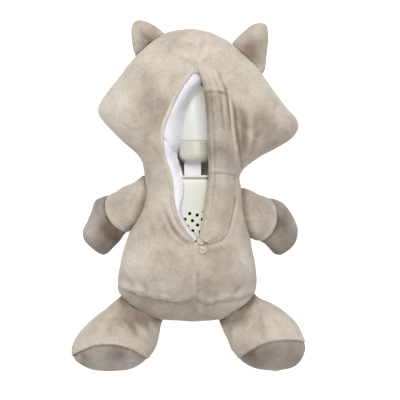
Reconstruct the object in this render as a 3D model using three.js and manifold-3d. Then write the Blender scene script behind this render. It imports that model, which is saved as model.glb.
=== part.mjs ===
// Plush sleep soother lying face down, with its back pocket open on a lamp and sound unit.
// Millimetres. X runs to the toy's right hand side as seen from the back, Y to its ears, Z up.

import * as THREE from 'three';
import { mergeVertices } from 'three/addons/utils/BufferGeometryUtils.js';
import Module from 'manifold-3d';

const wasm = await Module();
wasm.setup();

// Driving sizes of the plush
const headWidth = 181;
const headLength = 136;
const headHeight = 91;
const torsoWidth = 125;
const torsoLength = 147.6;
const torsoHeight = 82;
const armReach = 70;
const armLength = 74;
const armHeight = 58;
const legReach = 86;
const legLength = 74;
const legHeight = 57;
const earWidth = 50;
const earLength = 40;
const earRise = 53;
const seamGap = 0.35;
const pressedFlat = 0.5;
const fullness = 2.3;
const overrun = 400;

// Sizes of the face
const muzzleWidth = 46;
const muzzleLength = 36;
const muzzleDepth = 29;
const muzzleX = 2;
const muzzleY = 40;
const noseWidth = 13;
const noseLength = 8;
const noseDepth = 4.4;
const noseDropShare = 0.32;
const eyeWidth = 15;
const eyeSag = 5;
const eyeThread = 1;
const eyeSpacing = 50;
const eyeY = 56;

// Sizes of the pocket and of what closes it
const pocketFloor = 44.6;
const pocketWidth = 54;
const pocketTopRoom = 7.8;
const pocketFootRoom = 2.2;
const linerWall = 1;
const linerTop = 72;
const lipThickness = 3.4;
const tapeThickness = 1;
const flapThickness = 3.2;
const clothLift = 0.9;
const hemShare = 0.15;
const flapCrownShare = 0.25;
const hookEdgeShares = [0.12, 0.82];
const knotWidth = 11;
const knotLength = 10.5;
const knotHeight = 2.4;
const knotX = 6.3;
const knotDrop = 5;

// Sizes of the sound unit
const caseWidth = 31;
const boardRoom = 15.8;
const caseDepth = 26;
const caseWall = 1.8;
const caseCorner = 7;
const caseEdge = 3.5;
const caseX = 0.3;
const caseTopY = -3.1;
const unitAxisZ = 62.6;
const partingDrop = 5;
const capLength = 2.2;
const capRim = 0.6;
const fit = 0.3;

// Sizes of the lamp unit and of the strap between the units
const lampRadius = 15.8;
const domeLength = 52.5;
const cupLength = 18.6;
const lampWall = 1.6;
const lampX = 1.3;
const lampTilt = 0.03;
const strapWidth = 15;
const strapX = -1.2;
const strapThickness = 1.6;
const strapSpan = 11.2;
const strapGrip = 5;
const cableRadius = 1;
const spigotLength = 2.5;
const boardThickness = 1.2;
const boardLedge = 1.4;
const boardDepth = 7;
const ledRadius = 2.5;
const ledHeight = 6;
const domeTaper = 0.64;

// Sizes of the speaker, the batteries and the controls
const speakerRadius = 12.4;
const speakerDepth = 5;
const magnetRadius = 6.5;
const magnetDepth = 3;
const gasketThickness = 0.9;
const grilleHole = 1.55;
const grillePitch = 6.03;
const grilleX = 0.9;
const grilleRise = 16.9;
const grilleTurn = -0.7;
const batteryRadius = 5.2;
const batteryLength = 43.6;
const nubRadius = 1.9;
const nubLength = 1;
const contactThickness = 0.6;
const contactWidth = 6.2;
const boardWidth = 20;
const boardLength = 22;
const boardRise = 7;
const postRadius = 2;
const doorWidth = 22;
const doorMargin = 8.4;
const screwRadius = 0.9;
const screwHead = 1.8;
const screwHeadDepth = 1;
const screwLength = 7;
const playRadius = 3.6;
const volumeRadius = 2.6;
const buttonProud = 1;
const buttonFlange = 0.8;
const buttonZ = 1.4;
const switchTravel = 4;
const switchKnob = 3;
const switchHeight = 3;

// Stations of each stuffed form, as shares of its reach, length and height:
// left edge x and y, right edge x and y, back, front
const headShares = [
  [-0.01, 0.946, -0.01, 0.946, 0.52, 0.52],
  [-0.129, 0.933, 0.094, 0.92, 0.68, 0.36],
  [-0.224, 0.887, 0.189, 0.854, 0.81, 0.27],
  [-0.283, 0.807, 0.254, 0.774, 0.9, 0.21],
  [-0.333, 0.715, 0.318, 0.688, 0.96, 0.16],
  [-0.383, 0.615, 0.363, 0.596, 0.99, 0.14],
  [-0.433, 0.526, 0.413, 0.503, 1, 0.13],
  [-0.472, 0.443, 0.462, 0.424, 1, 0.13],
  [-0.477, 0.387, 0.507, 0.364, 1, 0.13],
  [-0.45, 0.328, 0.522, 0.301, 0.99, 0.13],
  [-0.398, 0.258, 0.49, 0.232, 0.98, 0.14],
  [-0.338, 0.185, 0.418, 0.159, 0.97, 0.15],
  [-0.283, 0.119, 0.338, 0.093, 0.95, 0.18],
  [-0.251, 0.06, 0.273, 0.026, 0.94, 0.22],
  [-0.219, 0.007, 0.224, -0.033, 0.9, 0.31],
  [-0.134, -0.03, 0.139, -0.06, 0.8, 0.42],
  [0.005, -0.053, 0.005, -0.053, 0.54, 0.54],
];
const torsoShares = [
  [0, 0.098, 0, 0.098, 0.51, 0.51],
  [-0.202, 0.085, 0.209, 0.073, 0.86, 0.29],
  [-0.324, 0.043, 0.324, 0.024, 0.95, 0.17],
  [-0.356, -0.024, 0.346, -0.037, 0.98, 0.1],
  [-0.353, -0.11, 0.349, -0.116, 1, 0.05],
  [-0.382, -0.213, 0.364, -0.213, 1.01, 0.01],
  [-0.432, -0.305, 0.389, -0.305, 1.01, 0],
  [-0.479, -0.396, 0.41, -0.402, 1.01, 0],
  [-0.508, -0.476, 0.428, -0.488, 1, 0],
  [-0.533, -0.561, 0.45, -0.573, 0.98, 0],
  [-0.551, -0.646, 0.457, -0.652, 0.93, 0],
  [-0.544, -0.72, 0.443, -0.726, 0.85, 0.04],
  [-0.504, -0.777, 0.41, -0.78, 0.77, 0.11],
  [-0.418, -0.832, 0.331, -0.841, 0.67, 0.21],
  [-0.266, -0.878, 0.216, -0.884, 0.57, 0.33],
  [-0.014, -0.899, -0.014, -0.899, 0.46, 0.46],
];
const leftEarShares = [
  [0.063, 0.725, 0.063, 0.725, 0, 0],
  [-0.027, 0.664, 0.216, 0.675, 0.07, -0.07],
  [-0.068, 0.495, 0.396, 0.551, 0.11, -0.11],
  [-0.063, 0.293, 0.558, 0.383, 0.13, -0.13],
  [-0.036, 0.068, 0.738, 0.158, 0.14, -0.14],
  [0.054, -0.18, 0.846, -0.09, 0.13, -0.13],
  [0.414, -0.225, 0.414, -0.225, 0, 0],
];
const rightEarShares = [
  [-0.063, 1.069, -0.063, 1.069, 0, 0],
  [-0.234, 0.995, 0.036, 1.001, 0.07, -0.07],
  [-0.378, 0.855, 0.068, 0.855, 0.11, -0.11],
  [-0.531, 0.675, 0.072, 0.608, 0.13, -0.13],
  [-0.684, 0.45, 0.054, 0.315, 0.14, -0.14],
  [-0.774, 0.225, -0.02, -0.08, 0.13, -0.13],
  [-0.45, -0.06, -0.45, -0.06, 0, 0],
];
const leftArmShares = [
  [0.167, -0.328, 0.167, -0.328, 0.7, 0.7],
  [0.09, -0.061, 0.064, -0.559, 0.93, 0.48],
  [-0.013, 0.018, -0.077, -0.657, 1, 0.38],
  [-0.141, -0.073, -0.18, -0.675, 0.98, 0.33],
  [-0.296, -0.14, -0.238, -0.693, 0.92, 0.26],
  [-0.431, -0.219, -0.276, -0.73, 0.83, 0.17],
  [-0.559, -0.249, -0.315, -0.784, 0.76, 0.09],
  [-0.649, -0.292, -0.373, -0.839, 0.71, 0.02],
  [-0.701, -0.414, -0.437, -0.894, 0.67, 0],
  [-0.759, -0.547, -0.489, -0.943, 0.65, 0],
  [-0.813, -0.669, -0.546, -0.966, 0.6, 0],
  [-0.797, -0.772, -0.624, -0.934, 0.5, 0.09],
  [-0.72, -0.857, -0.72, -0.857, 0.29, 0.29],
];
const rightArmShares = [
  [-0.167, -0.292, -0.167, -0.292, 0.7, 0.7],
  [-0.09, -0.547, -0.116, -0.061, 0.93, 0.48],
  [0.045, -0.62, 0.006, -0.03, 1, 0.38],
  [0.129, -0.645, 0.161, -0.085, 0.98, 0.33],
  [0.206, -0.663, 0.296, -0.134, 0.92, 0.26],
  [0.27, -0.693, 0.411, -0.152, 0.83, 0.17],
  [0.321, -0.736, 0.521, -0.201, 0.76, 0.09],
  [0.366, -0.784, 0.604, -0.292, 0.71, 0.02],
  [0.418, -0.831, 0.672, -0.401, 0.67, 0],
  [0.482, -0.844, 0.715, -0.511, 0.65, 0],
  [0.553, -0.815, 0.711, -0.62, 0.6, 0],
  [0.604, -0.778, 0.679, -0.699, 0.5, 0.09],
  [0.643, -0.742, 0.643, -0.742, 0.29, 0.29],
];
const leftLegShares = [
  [0, 0.012, 0, 0.012, 0.39, 0.39],
  [-0.22, 0, 0.167, -0.134, 0.67, 0.14],
  [-0.345, -0.097, 0.147, -0.292, 0.75, 0.09],
  [-0.481, -0.225, 0.094, -0.438, 0.82, 0.05],
  [-0.628, -0.359, 0.073, -0.572, 0.89, 0.02],
  [-0.748, -0.493, 0.042, -0.699, 0.96, 0],
  [-0.832, -0.639, -0.016, -0.809, 1, 0],
  [-0.853, -0.754, -0.099, -0.888, 0.96, 0],
  [-0.795, -0.864, -0.22, -0.955, 0.84, 0],
  [-0.665, -0.949, -0.387, -0.985, 0.67, 0.04],
  [-0.534, -0.988, -0.534, -0.988, 0.35, 0.35],
];
const rightLegShares = [
  [0, 0.012, 0, 0.012, 0.39, 0.39],
  [-0.178, -0.122, 0.199, 0.012, 0.67, 0.14],
  [-0.136, -0.28, 0.324, -0.091, 0.75, 0.09],
  [-0.078, -0.401, 0.471, -0.17, 0.82, 0.05],
  [-0.047, -0.505, 0.617, -0.28, 0.89, 0.02],
  [-0.016, -0.602, 0.733, -0.414, 0.96, 0],
  [0.026, -0.705, 0.795, -0.559, 1, 0],
  [0.089, -0.791, 0.809, -0.687, 0.96, 0],
  [0.167, -0.864, 0.78, -0.803, 0.84, 0],
  [0.309, -0.943, 0.691, -0.918, 0.67, 0.04],
  [0.513, -0.983, 0.513, -0.983, 0.35, 0.35],
];

// Where each limb and ear starts, as shares of the torso or the head
const leftShoulderShare = [-0.353, -0.024];
const rightShoulderShare = [0.353, -0.085];
const leftHipShare = [-0.302, -0.72];
const rightHipShare = [0.245, -0.72];
const leftEarShare = [-0.293, 0.794];
const rightEarShare = [0.348, 0.675];

// Plan of the pocket and of the edges round its mouth, as shares of its width and length from its top
const pocketShares = [
  [0, 0.015],
  [-0.17, -0.015],
  [-0.31, -0.07],
  [-0.42, -0.14],
  [-0.51, -0.21],
  [-0.58, -0.29],
  [-0.61, -0.37],
  [-0.6, -0.45],
  [-0.55, -0.53],
  [-0.45, -0.6],
  [-0.37, -0.68],
  [-0.34, -0.76],
  [-0.34, -0.93],
  [-0.27, -0.995],
  [0.3, -0.995],
  [0.37, -0.93],
  [0.36, -0.3],
  [0.35, -0.19],
  [0.29, -0.09],
  [0.16, -0.01],
];
const slitEdgeShares = [
  [-0.02, 0.015],
  [-0.12, -0.05],
  [-0.25, -0.13],
  [-0.37, -0.22],
  [-0.46, -0.29],
  [-0.495, -0.36],
  [-0.49, -0.44],
  [-0.445, -0.52],
  [-0.365, -0.6],
  [-0.33, -0.68],
  [-0.3, -0.76],
  [-0.2, -0.87],
  [0.02, -0.98],
];
const lipWidthShares = [0.06, 0.08, 0.1, 0.12, 0.12, 0.12, 0.12, 0.12, 0.1, 0.08, 0.08, 0.12, 0.1];
const tapeEdgeShares = [
  [0.1, -0.02],
  [0.07, -0.08],
  [-0.05, -0.16],
  [-0.16, -0.24],
  [-0.2, -0.31],
  [-0.23, -0.38],
  [-0.28, -0.46],
  [-0.25, -0.54],
  [-0.18, -0.6],
  [-0.15, -0.68],
  [-0.17, -0.76],
  [-0.1, -0.87],
  [0.07, -0.97],
];
const tapeDropShares = [0.2, 0.5, 0.7, 0.9, 1, 1, 1, 1, 1, 1, 1, 0.7, 0.3];
const flapFreeShares = [
  [0.09, 0.01],
  [0.14, -0.07],
  [0.18, -0.18],
  [0.205, -0.29],
  [0.225, -0.42],
  [0.24, -0.55],
  [0.22, -0.65],
  [0.175, -0.77],
  [0.135, -0.89],
  [0.1, -0.975],
];
const flapSewnShares = [
  [0.42, 0.01],
  [0.52, -0.07],
  [0.55, -0.18],
  [0.58, -0.29],
  [0.6, -0.42],
  [0.61, -0.55],
  [0.6, -0.65],
  [0.58, -0.77],
  [0.5, -0.89],
  [0.28, -0.985],
];

// Shares of the limbs' cuffs and soles, of the seat's seam, and of the parts of the two units
const leftCuffShare = [-0.447, -0.491, 0.713];
const rightCuffShare = [0.4, -0.417, 0.732];
const leftSoleShare = [-0.423, -0.701, 0.942];
const rightSoleShare = [0.448, -0.645, 0.939];
const seatShare = [0, -0.795, 0.78];
const cupCornerShare = 0.45;
const boardPostShare = 0.36;
const contactShare = 1.4;
const playShare = 0.25;
const volumeUpShare = 0.444;
const volumeDownShare = 0.596;
const switchShare = 0.285;
const innerCornerShare = 0.2;

// Angles, in radians
const cuffTilt = -0.5;
const leftCuffAngle = -2.6;
const rightCuffAngle = -0.17;
const soleTilt = 0.4;
const leftSoleAngle = -1.62;
const rightSoleAngle = -1.33;
const seatTilt = -0.64;
const quarterTurn = Math.PI / 2;
const fullTurn = 2 * Math.PI;

// Numbers of rings, sides and steps
const headCounts = [22, 28];
const torsoCounts = [22, 26];
const earCounts = [12, 16];
const armCounts = [20, 20];
const legCounts = [17, 20];
const muzzleCounts = [24, 16];
const noseCounts = [16, 10];
const knotCounts = [14, 10];
const pocketSteps = 44;
const stripSteps = 24;
const eyeSteps = 10;
const threadSides = 4;
const domeSteps = 10;
const domeInnerSteps = 8;
const cupSteps = 5;
const ledSteps = 4;
const lampSides = 28;
const speakerSides = 28;
const discSides = 24;
const plateSides = 16;
const postSides = 12;
const ledSides = 14;
const batterySides = 18;
const cableSteps = 8;
const cableSides = 5;
const cornerSteps = 4;
const capCornerSteps = 6;
const edgeSteps = 3;
const pocketTension = 0.35;

// Places worked out from the sizes
const caseLength = batteryLength + boardRoom;
const caseBottomY = caseTopY - caseLength;
const caseHalfDepth = caseDepth / 2;
const lampBottomY = caseTopY + strapSpan;
const partingZ = -partingDrop;
const pocketTopY = lampBottomY + cupLength + fit + domeLength + pocketTopRoom;
const pocketLength = pocketTopY - caseBottomY + pocketFootRoom;
const grilleY = caseBottomY + grilleRise;

const toy = new THREE.Group();
const soundUnit = new THREE.Group();
soundUnit.position.set(caseX, 0, unitAxisZ);
const lampUnit = new THREE.Group();
lampUnit.position.set(lampX, lampBottomY, unitAxisZ);
lampUnit.rotation.z = lampTilt;
toy.add(soundUnit, lampUnit);

// Finishes
const finish = (color, roughness, metalness = 0) =>
  new THREE.MeshStandardMaterial({ color, roughness, metalness });
const taupePlush = () => finish(0xc8beb0, 0.95);
const greyPlush = () => finish(0xa0988f, 0.95);
const whiteTape = () => finish(0xebe8f0, 0.85);
const whiteShell = () => finish(0xe4e2d8, 0.3);
const steel = () => finish(0xb9bcc0, 0.35, 0.9);

// A geometry as a solid that can be cut, and back
function solid(geometry, matrix = null) {
  const bare = geometry.clone();
  bare.deleteAttribute('normal');
  bare.deleteAttribute('uv');
  const closed = mergeVertices(bare);
  if (matrix) closed.applyMatrix4(matrix);
  const vertProperties = new Float32Array(closed.attributes.position.array);
  const triVerts = new Uint32Array(closed.index.array);
  return new wasm.Manifold(new wasm.Mesh({ numProp: 3, vertProperties, triVerts }));
}

function geometryOf(body) {
  const mesh = body.getMesh();
  const geometry = new THREE.BufferGeometry();
  geometry.setAttribute('position', new THREE.BufferAttribute(mesh.vertProperties, 3));
  geometry.setIndex(new THREE.BufferAttribute(mesh.triVerts, 1));
  return geometry;
}

function add(parent, name, body, material) {
  const geometry = body.isBufferGeometry ? body : geometryOf(body);
  geometry.computeVertexNormals();
  const mesh = new THREE.Mesh(geometry, material);
  mesh.name = name;
  parent.add(mesh);
  return mesh;
}

const at = (x, y, z) => new THREE.Matrix4().makeTranslation(x, y, z);

// Rings of points joined into a closed tube, with a point or a flat fan at each end
function joinRings(rings, startPoint, endPoint) {
  const sides = rings[0].length;
  const points = [startPoint, ...rings.flat(), endPoint];
  const last = points.length - 1;
  const index = [];
  for (let side = 0; side < sides; side++) {
    const next = (side + 1) % sides;
    index.push(0, 1 + next, 1 + side);
    for (let ring = 0; ring < rings.length - 1; ring++) {
      const here = 1 + ring * sides;
      const beyond = here + sides;
      index.push(here + side, here + next, beyond + next);
      index.push(here + side, beyond + next, beyond + side);
    }
    const end = 1 + (rings.length - 1) * sides;
    index.push(end + side, end + next, last);
  }
  const geometry = new THREE.BufferGeometry().setFromPoints(points);
  geometry.setIndex(index);
  return geometry;
}

// A stuffed form swells between its left and right edges, seen from the back.
// grow makes the same form larger all round, to leave a seam gap where it cuts another.
function stuffedForm(shares, place, reach, length, height, counts, grow = 0) {
  const rail = (column) => new THREE.CatmullRomCurve3(shares.map(
    (row) => new THREE.Vector3(place.x + row[column] * reach, place.y + row[column + 1] * length, 0)));
  const left = rail(0);
  const right = rail(2);
  const rises = new THREE.CatmullRomCurve3(shares.map(
    (row) => new THREE.Vector3(row[4] * height, row[5] * height - pressedFlat, 0)));
  const [ringCount, sides] = counts;
  const pole = (share, beyond) => {
    const point = left.getPoint(share);
    const inner = left.getPoint(beyond).lerp(right.getPoint(beyond), 0.5);
    const outward = point.clone().sub(inner).setLength(1).multiplyScalar(grow);
    const rise = rises.getPoint(share);
    return point.add(outward).add(new THREE.Vector3(0, 0, place.z + (rise.x + rise.y) / 2));
  };
  const rings = [];
  for (let ring = 1; ring < ringCount; ring++) {
    const share = ring / ringCount;
    const from = left.getPoint(share);
    const to = right.getPoint(share);
    const middle = from.clone().lerp(to, 0.5);
    const across = to.clone().sub(middle);
    across.setLength(across.length() + grow);
    const rise = rises.getPoint(share);
    const level = place.z + (rise.x + rise.y) / 2;
    const swell = (rise.x - rise.y) / 2 + grow;
    const points = [];
    for (let side = 0; side < sides; side++) {
      const turn = fullTurn * side / sides;
      const aside = Math.sign(Math.cos(turn)) * Math.abs(Math.cos(turn)) ** (2 / fullness);
      const up = Math.sign(Math.sin(turn)) * Math.abs(Math.sin(turn)) ** (2 / fullness);
      const point = middle.clone().addScaledVector(across, aside);
      point.z = level + swell * up;
      points.push(point);
    }
    rings.push(points);
  }
  return joinRings(rings, pole(0, 1 / ringCount), pole(1, 1 - 1 / ringCount));
}

// A box that fills all space on the far side of a plane
function beyond(point, direction, gap = 0) {
  const box = new THREE.BoxGeometry(overrun, overrun, overrun);
  const turn = new THREE.Quaternion().setFromUnitVectors(new THREE.Vector3(0, 0, 1), direction);
  const centre = point.clone().addScaledVector(direction, overrun / 2 + gap);
  return solid(box, new THREE.Matrix4().compose(centre, turn, new THREE.Vector3(1, 1, 1)));
}

const slant = (heading, pitch) => new THREE.Vector3(
  Math.cos(heading) * Math.cos(pitch), Math.sin(heading) * Math.cos(pitch), Math.sin(pitch));
const belowGround = beyond(new THREE.Vector3(0, 0, 0), new THREE.Vector3(0, 0, -1));
const onTorso = (share) => new THREE.Vector3(share[0] * torsoWidth, share[1] * torsoLength, 0);
const onHead = (share, z = 0) => new THREE.Vector3(share[0] * headWidth, share[1] * headLength, z);
const neck = new THREE.Vector3(0, 0, 0);

// Head and torso, the two large forms that cut all the others
const headForm = (grow) =>
  stuffedForm(headShares, neck, headWidth, headLength, headHeight, headCounts, grow);
const torsoForm = (grow) =>
  stuffedForm(torsoShares, neck, torsoWidth, torsoLength, torsoHeight, torsoCounts, grow);

// The closed plan of the pocket, drawn in by a distance
function pocketPlan(inset) {
  const points = pocketShares.map(([x, y]) =>
    new THREE.Vector3(x * pocketWidth, pocketTopY + y * pocketLength, 0));
  const curve = new THREE.CatmullRomCurve3(points, true, 'catmullrom', pocketTension);
  const plan = [];
  for (let step = 0; step < pocketSteps; step++) {
    const point = curve.getPoint(step / pocketSteps);
    const along = curve.getTangent(step / pocketSteps);
    plan.push(new THREE.Vector2(point.x - along.y * inset, point.y + along.x * inset));
  }
  return new THREE.Shape(plan);
}

const rising = (shape, bottom, top) => {
  const block = new THREE.ExtrudeGeometry(shape, { depth: top - bottom, bevelEnabled: false });
  return solid(block, at(0, 0, bottom));
};

const pocketSpace = rising(pocketPlan(0), pocketFloor, overrun);
const headSolid = solid(headForm(0)).subtract(belowGround);
const torsoSolid = solid(torsoForm(0)).subtract(solid(headForm(seamGap))).subtract(belowGround);
const seatPlanePoint = onTorso(seatShare).setZ(seatShare[2] * torsoHeight);
const seatDirection = slant(-quarterTurn, seatTilt);
const seatSpace = beyond(seatPlanePoint, seatDirection);
const seatOpen = beyond(seatPlanePoint, seatDirection, seamGap);
add(toy, 'head', headSolid.subtract(pocketSpace), taupePlush());
add(toy, 'torso', torsoSolid.subtract(seatSpace).subtract(pocketSpace), taupePlush());
add(toy, 'seat_panel', torsoSolid.intersect(seatOpen), taupePlush());

// Ears, sewn into the head seam
const headGrown = solid(headForm(seamGap));
const torsoGrown = solid(torsoForm(seamGap));
const ear = (shares, place) =>
  solid(stuffedForm(shares, place, earWidth, earLength, earRise, earCounts)).subtract(headGrown);
add(toy, 'left_ear', ear(leftEarShares, onHead(leftEarShare, earRise)), taupePlush());
add(toy, 'right_ear', ear(rightEarShares, onHead(rightEarShare, earRise)), taupePlush());

// Arms and their paws, parted at a slanting cuff
function limb(names, shares, place, sizes, counts, cutPoint, cutDirection, endMaterial) {
  const form = solid(stuffedForm(shares, place, ...sizes, counts))
    .subtract(torsoGrown).subtract(headGrown).subtract(belowGround);
  add(toy, names[0], form.subtract(beyond(cutPoint, cutDirection)), taupePlush());
  add(toy, names[1], form.intersect(beyond(cutPoint, cutDirection, seamGap)), endMaterial);
}

const armSizes = [armReach, armLength, armHeight];
const cuffAt = (place, share) => new THREE.Vector3(
  place.x + share[0] * armReach, place.y + share[1] * armLength, share[2] * armHeight);
const leftShoulder = onTorso(leftShoulderShare);
const rightShoulder = onTorso(rightShoulderShare);
limb(['left_arm', 'left_paw'], leftArmShares, leftShoulder, armSizes, armCounts,
  cuffAt(leftShoulder, leftCuffShare), slant(leftCuffAngle, cuffTilt), greyPlush());
limb(['right_arm', 'right_paw'], rightArmShares, rightShoulder, armSizes, armCounts,
  cuffAt(rightShoulder, rightCuffShare), slant(rightCuffAngle, cuffTilt), greyPlush());

// Legs and their soles, parted at a plane that leans back over the toes
const legSizes = [legReach, legLength, legHeight];
const soleAt = (place, share) => new THREE.Vector3(
  place.x + share[0] * legReach, place.y + share[1] * legLength, share[2] * legHeight);
const leftHip = onTorso(leftHipShare);
const rightHip = onTorso(rightHipShare);
limb(['left_leg', 'left_sole'], leftLegShares, leftHip, legSizes, legCounts,
  soleAt(leftHip, leftSoleShare), slant(leftSoleAngle, soleTilt), greyPlush());
limb(['right_leg', 'right_sole'], rightLegShares, rightHip, legSizes, legCounts,
  soleAt(rightHip, rightSoleShare), slant(rightSoleAngle, soleTilt), greyPlush());

// Heights of the back and of the face, measured on the two large forms
const measured = [headForm(0), torsoForm(0)].map((form) => new THREE.Mesh(form));
const upRay = new THREE.Vector3(0, 0, 1);
const downRay = new THREE.Vector3(0, 0, -1);
function backHeight(x, y) {
  const ray = new THREE.Raycaster(new THREE.Vector3(x, y, overrun), downRay);
  return overrun - ray.intersectObjects(measured)[0].distance;
}
function faceHeight(x, y) {
  const ray = new THREE.Raycaster(new THREE.Vector3(x, y, -overrun), upRay);
  return ray.intersectObjects(measured)[0].distance - overrun;
}

// Face: a muzzle that the toy rests on, a nose pad and two closed eyes
const unitBall = (across, around) => new THREE.SphereGeometry(1, across, around);
const ball = (place, width, length, depth, counts) => solid(unitBall(...counts),
  new THREE.Matrix4().compose(place, new THREE.Quaternion(),
    new THREE.Vector3(width / 2, length / 2, depth / 2)));
const muzzleCentre = new THREE.Vector3(muzzleX, muzzleY, muzzleDepth / 2 - pressedFlat);
const muzzle = ball(muzzleCentre, muzzleWidth, muzzleLength, muzzleDepth, muzzleCounts);
add(toy, 'muzzle', muzzle.subtract(headGrown).subtract(belowGround), taupePlush());
const noseLean = noseDropShare * muzzleLength;
const muzzleFront = muzzleCentre.z
  - muzzleDepth / 2 * Math.sqrt(1 - (2 * noseLean / muzzleLength) ** 2);
const nosePlace = new THREE.Vector3(muzzleX, muzzleY + noseLean, muzzleFront);
const muzzleGrown = ball(muzzleCentre, muzzleWidth + 2 * seamGap, muzzleLength + 2 * seamGap,
  muzzleDepth + 2 * seamGap, muzzleCounts);
add(toy, 'nose', ball(nosePlace, noseWidth, noseLength, noseDepth, noseCounts).subtract(muzzleGrown),
  finish(0x5a514b, 0.7));

function closedEye(side) {
  const middle = muzzleX + side * eyeSpacing / 2;
  const points = [-1, -0.5, 0, 0.5, 1].map((share) => {
    const x = middle + share * eyeWidth / 2;
    const y = eyeY - eyeSag * (1 - share * share);
    return new THREE.Vector3(x, y, faceHeight(x, y) - eyeThread - fit);
  });
  const path = new THREE.CatmullRomCurve3(points);
  const thread = new THREE.Shape().absarc(0, 0, eyeThread, 0, fullTurn);
  return new THREE.ExtrudeGeometry(thread,
    { steps: eyeSteps, curveSegments: threadSides, bevelEnabled: false, extrudePath: path });
}
add(toy, 'left_eye', solid(closedEye(-1)), finish(0x4a423d, 0.8));
add(toy, 'right_eye', solid(closedEye(1)), finish(0x4a423d, 0.8));

// Pocket liner, a cloth tub against the pocket's walls
const linerOuter = rising(pocketPlan(2 * fit), pocketFloor + fit, linerTop);
const linerInner = rising(pocketPlan(2 * fit + linerWall), pocketFloor + fit + linerWall, overrun);
add(toy, 'pocket_liner', linerOuter.subtract(linerInner), finish(0x8f8a86, 0.9));

// A cloth strip between two edges, with soft corners and a crown along its middle.
// level gives the height of its underside at a point, from its shares across and along.
function clothStrip(edgeA, edgeB, thickness, crown, level) {
  const sections = [];
  for (let step = 0; step <= stripSteps; step++) {
    const along = step / stripSteps;
    const from = edgeA.getPoint(along);
    const to = edgeB.getPoint(along);
    const raised = (across, rise) => {
      const point = from.clone().lerp(to, across);
      return point.setZ(level(point, across, along) + rise * thickness);
    };
    const near = hemShare;
    const far = 1 - hemShare;
    sections.push([
      raised(0, 0.5), raised(near, 0), raised(0.5, 0), raised(far, 0),
      raised(1, 0.5), raised(far, 1), raised(0.5, 1 + crown), raised(near, 1),
    ]);
  }
  const centre = (points) => points.reduce((sum, point) => sum.add(point), new THREE.Vector3())
    .divideScalar(points.length);
  return joinRings(sections, centre(sections[0]), centre(sections[stripSteps]));
}

const mouthEdge = (shares) => new THREE.CatmullRomCurve3(shares.map(([x, y]) =>
  new THREE.Vector3(x * pocketWidth, pocketTopY + y * pocketLength, 0)));
const overBack = (rise) => (point) => backHeight(point.x, point.y) + rise;

// Left lip: the rolled hem of the slit, hung inside the pocket's left wall
const lipInner = mouthEdge(slitEdgeShares);
const lipOuter = mouthEdge(slitEdgeShares.map(([x, y], row) => [x - lipWidthShares[row], y]));
const pocketRoom = rising(pocketPlan(fit), pocketFloor, overrun);
add(toy, 'left_lip', solid(clothStrip(lipOuter, lipInner, lipThickness, 0, overBack(-lipThickness)))
  .intersect(pocketRoom), taupePlush());

// Loop tape: sewn under the lip and lying in over the units
const unitsTop = unitAxisZ + lampRadius + clothLift;
const tapeDrops = new THREE.CatmullRomCurve3(tapeDropShares.map((share) =>
  new THREE.Vector3(share, 0, 0)));
const tapeLevel = (point, across, along) => {
  const sewn = backHeight(point.x, point.y) - lipThickness - tapeThickness - clothLift;
  return sewn - across * tapeDrops.getPoint(along).x * (sewn - unitsTop);
};
const tapeOuter = mouthEdge(slitEdgeShares.map(([x, y], row) => [x - lipWidthShares[row] / 3, y]));
add(toy, 'loop_tape', solid(clothStrip(tapeOuter, mouthEdge(tapeEdgeShares), tapeThickness, 0,
  tapeLevel)).intersect(pocketRoom), whiteTape());

// Right flap with the hook tape under it
const hookLift = clothLift + tapeThickness + 3 * fit;
add(toy, 'right_flap', clothStrip(mouthEdge(flapFreeShares), mouthEdge(flapSewnShares),
  flapThickness, flapCrownShare, overBack(hookLift)), taupePlush());
const between = (share) => flapFreeShares.map(([x, y], row) =>
  [x + share * (flapSewnShares[row][0] - x), y + share * (flapSewnShares[row][1] - y)]);
add(toy, 'hook_tape', clothStrip(mouthEdge(between(hookEdgeShares[0])),
  mouthEdge(between(hookEdgeShares[1])), tapeThickness, 0, overBack(clothLift)), whiteTape());

// Knot of thread that locks the lower end of the slit
const knotY = pocketTopY - pocketLength - knotDrop;
const knotPlace = new THREE.Vector3(knotX, knotY, backHeight(knotX, knotY));
add(toy, 'slit_knot', ball(knotPlace, knotWidth, knotLength, 2 * knotHeight, knotCounts)
  .subtract(torsoGrown), taupePlush());

// Lamp unit, turned about its long axis from here on: y runs to the dome's tip
const turned = (profile, segments) => new THREE.LatheGeometry(
  profile.map(([radius, height]) => new THREE.Vector2(radius, height)), segments);
const domeFoot = cupLength + fit;
const domeProfile = (radius, length, steps) => {
  const points = [];
  for (let step = 0; step <= steps; step++) {
    const turn = quarterTurn * step / steps;
    const width = radius * Math.cos(turn) ** domeTaper;
    points.push([step === steps ? 0 : width, domeFoot + length * Math.sin(turn)]);
  }
  return points;
};
const spigotRadius = lampRadius - lampWall - fit;
const domeOuter = domeProfile(lampRadius, domeLength, domeSteps);
const domeInner = domeProfile(spigotRadius - lampWall, domeLength - lampWall, domeInnerSteps);
add(lampUnit, 'lamp_dome', turned([
  ...domeInner.slice().reverse(),
  [spigotRadius - lampWall, domeFoot - spigotLength],
  [spigotRadius, domeFoot - spigotLength],
  [spigotRadius, domeFoot],
  ...domeOuter,
], lampSides), finish(0xe8e9e4, 0.25));

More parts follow.
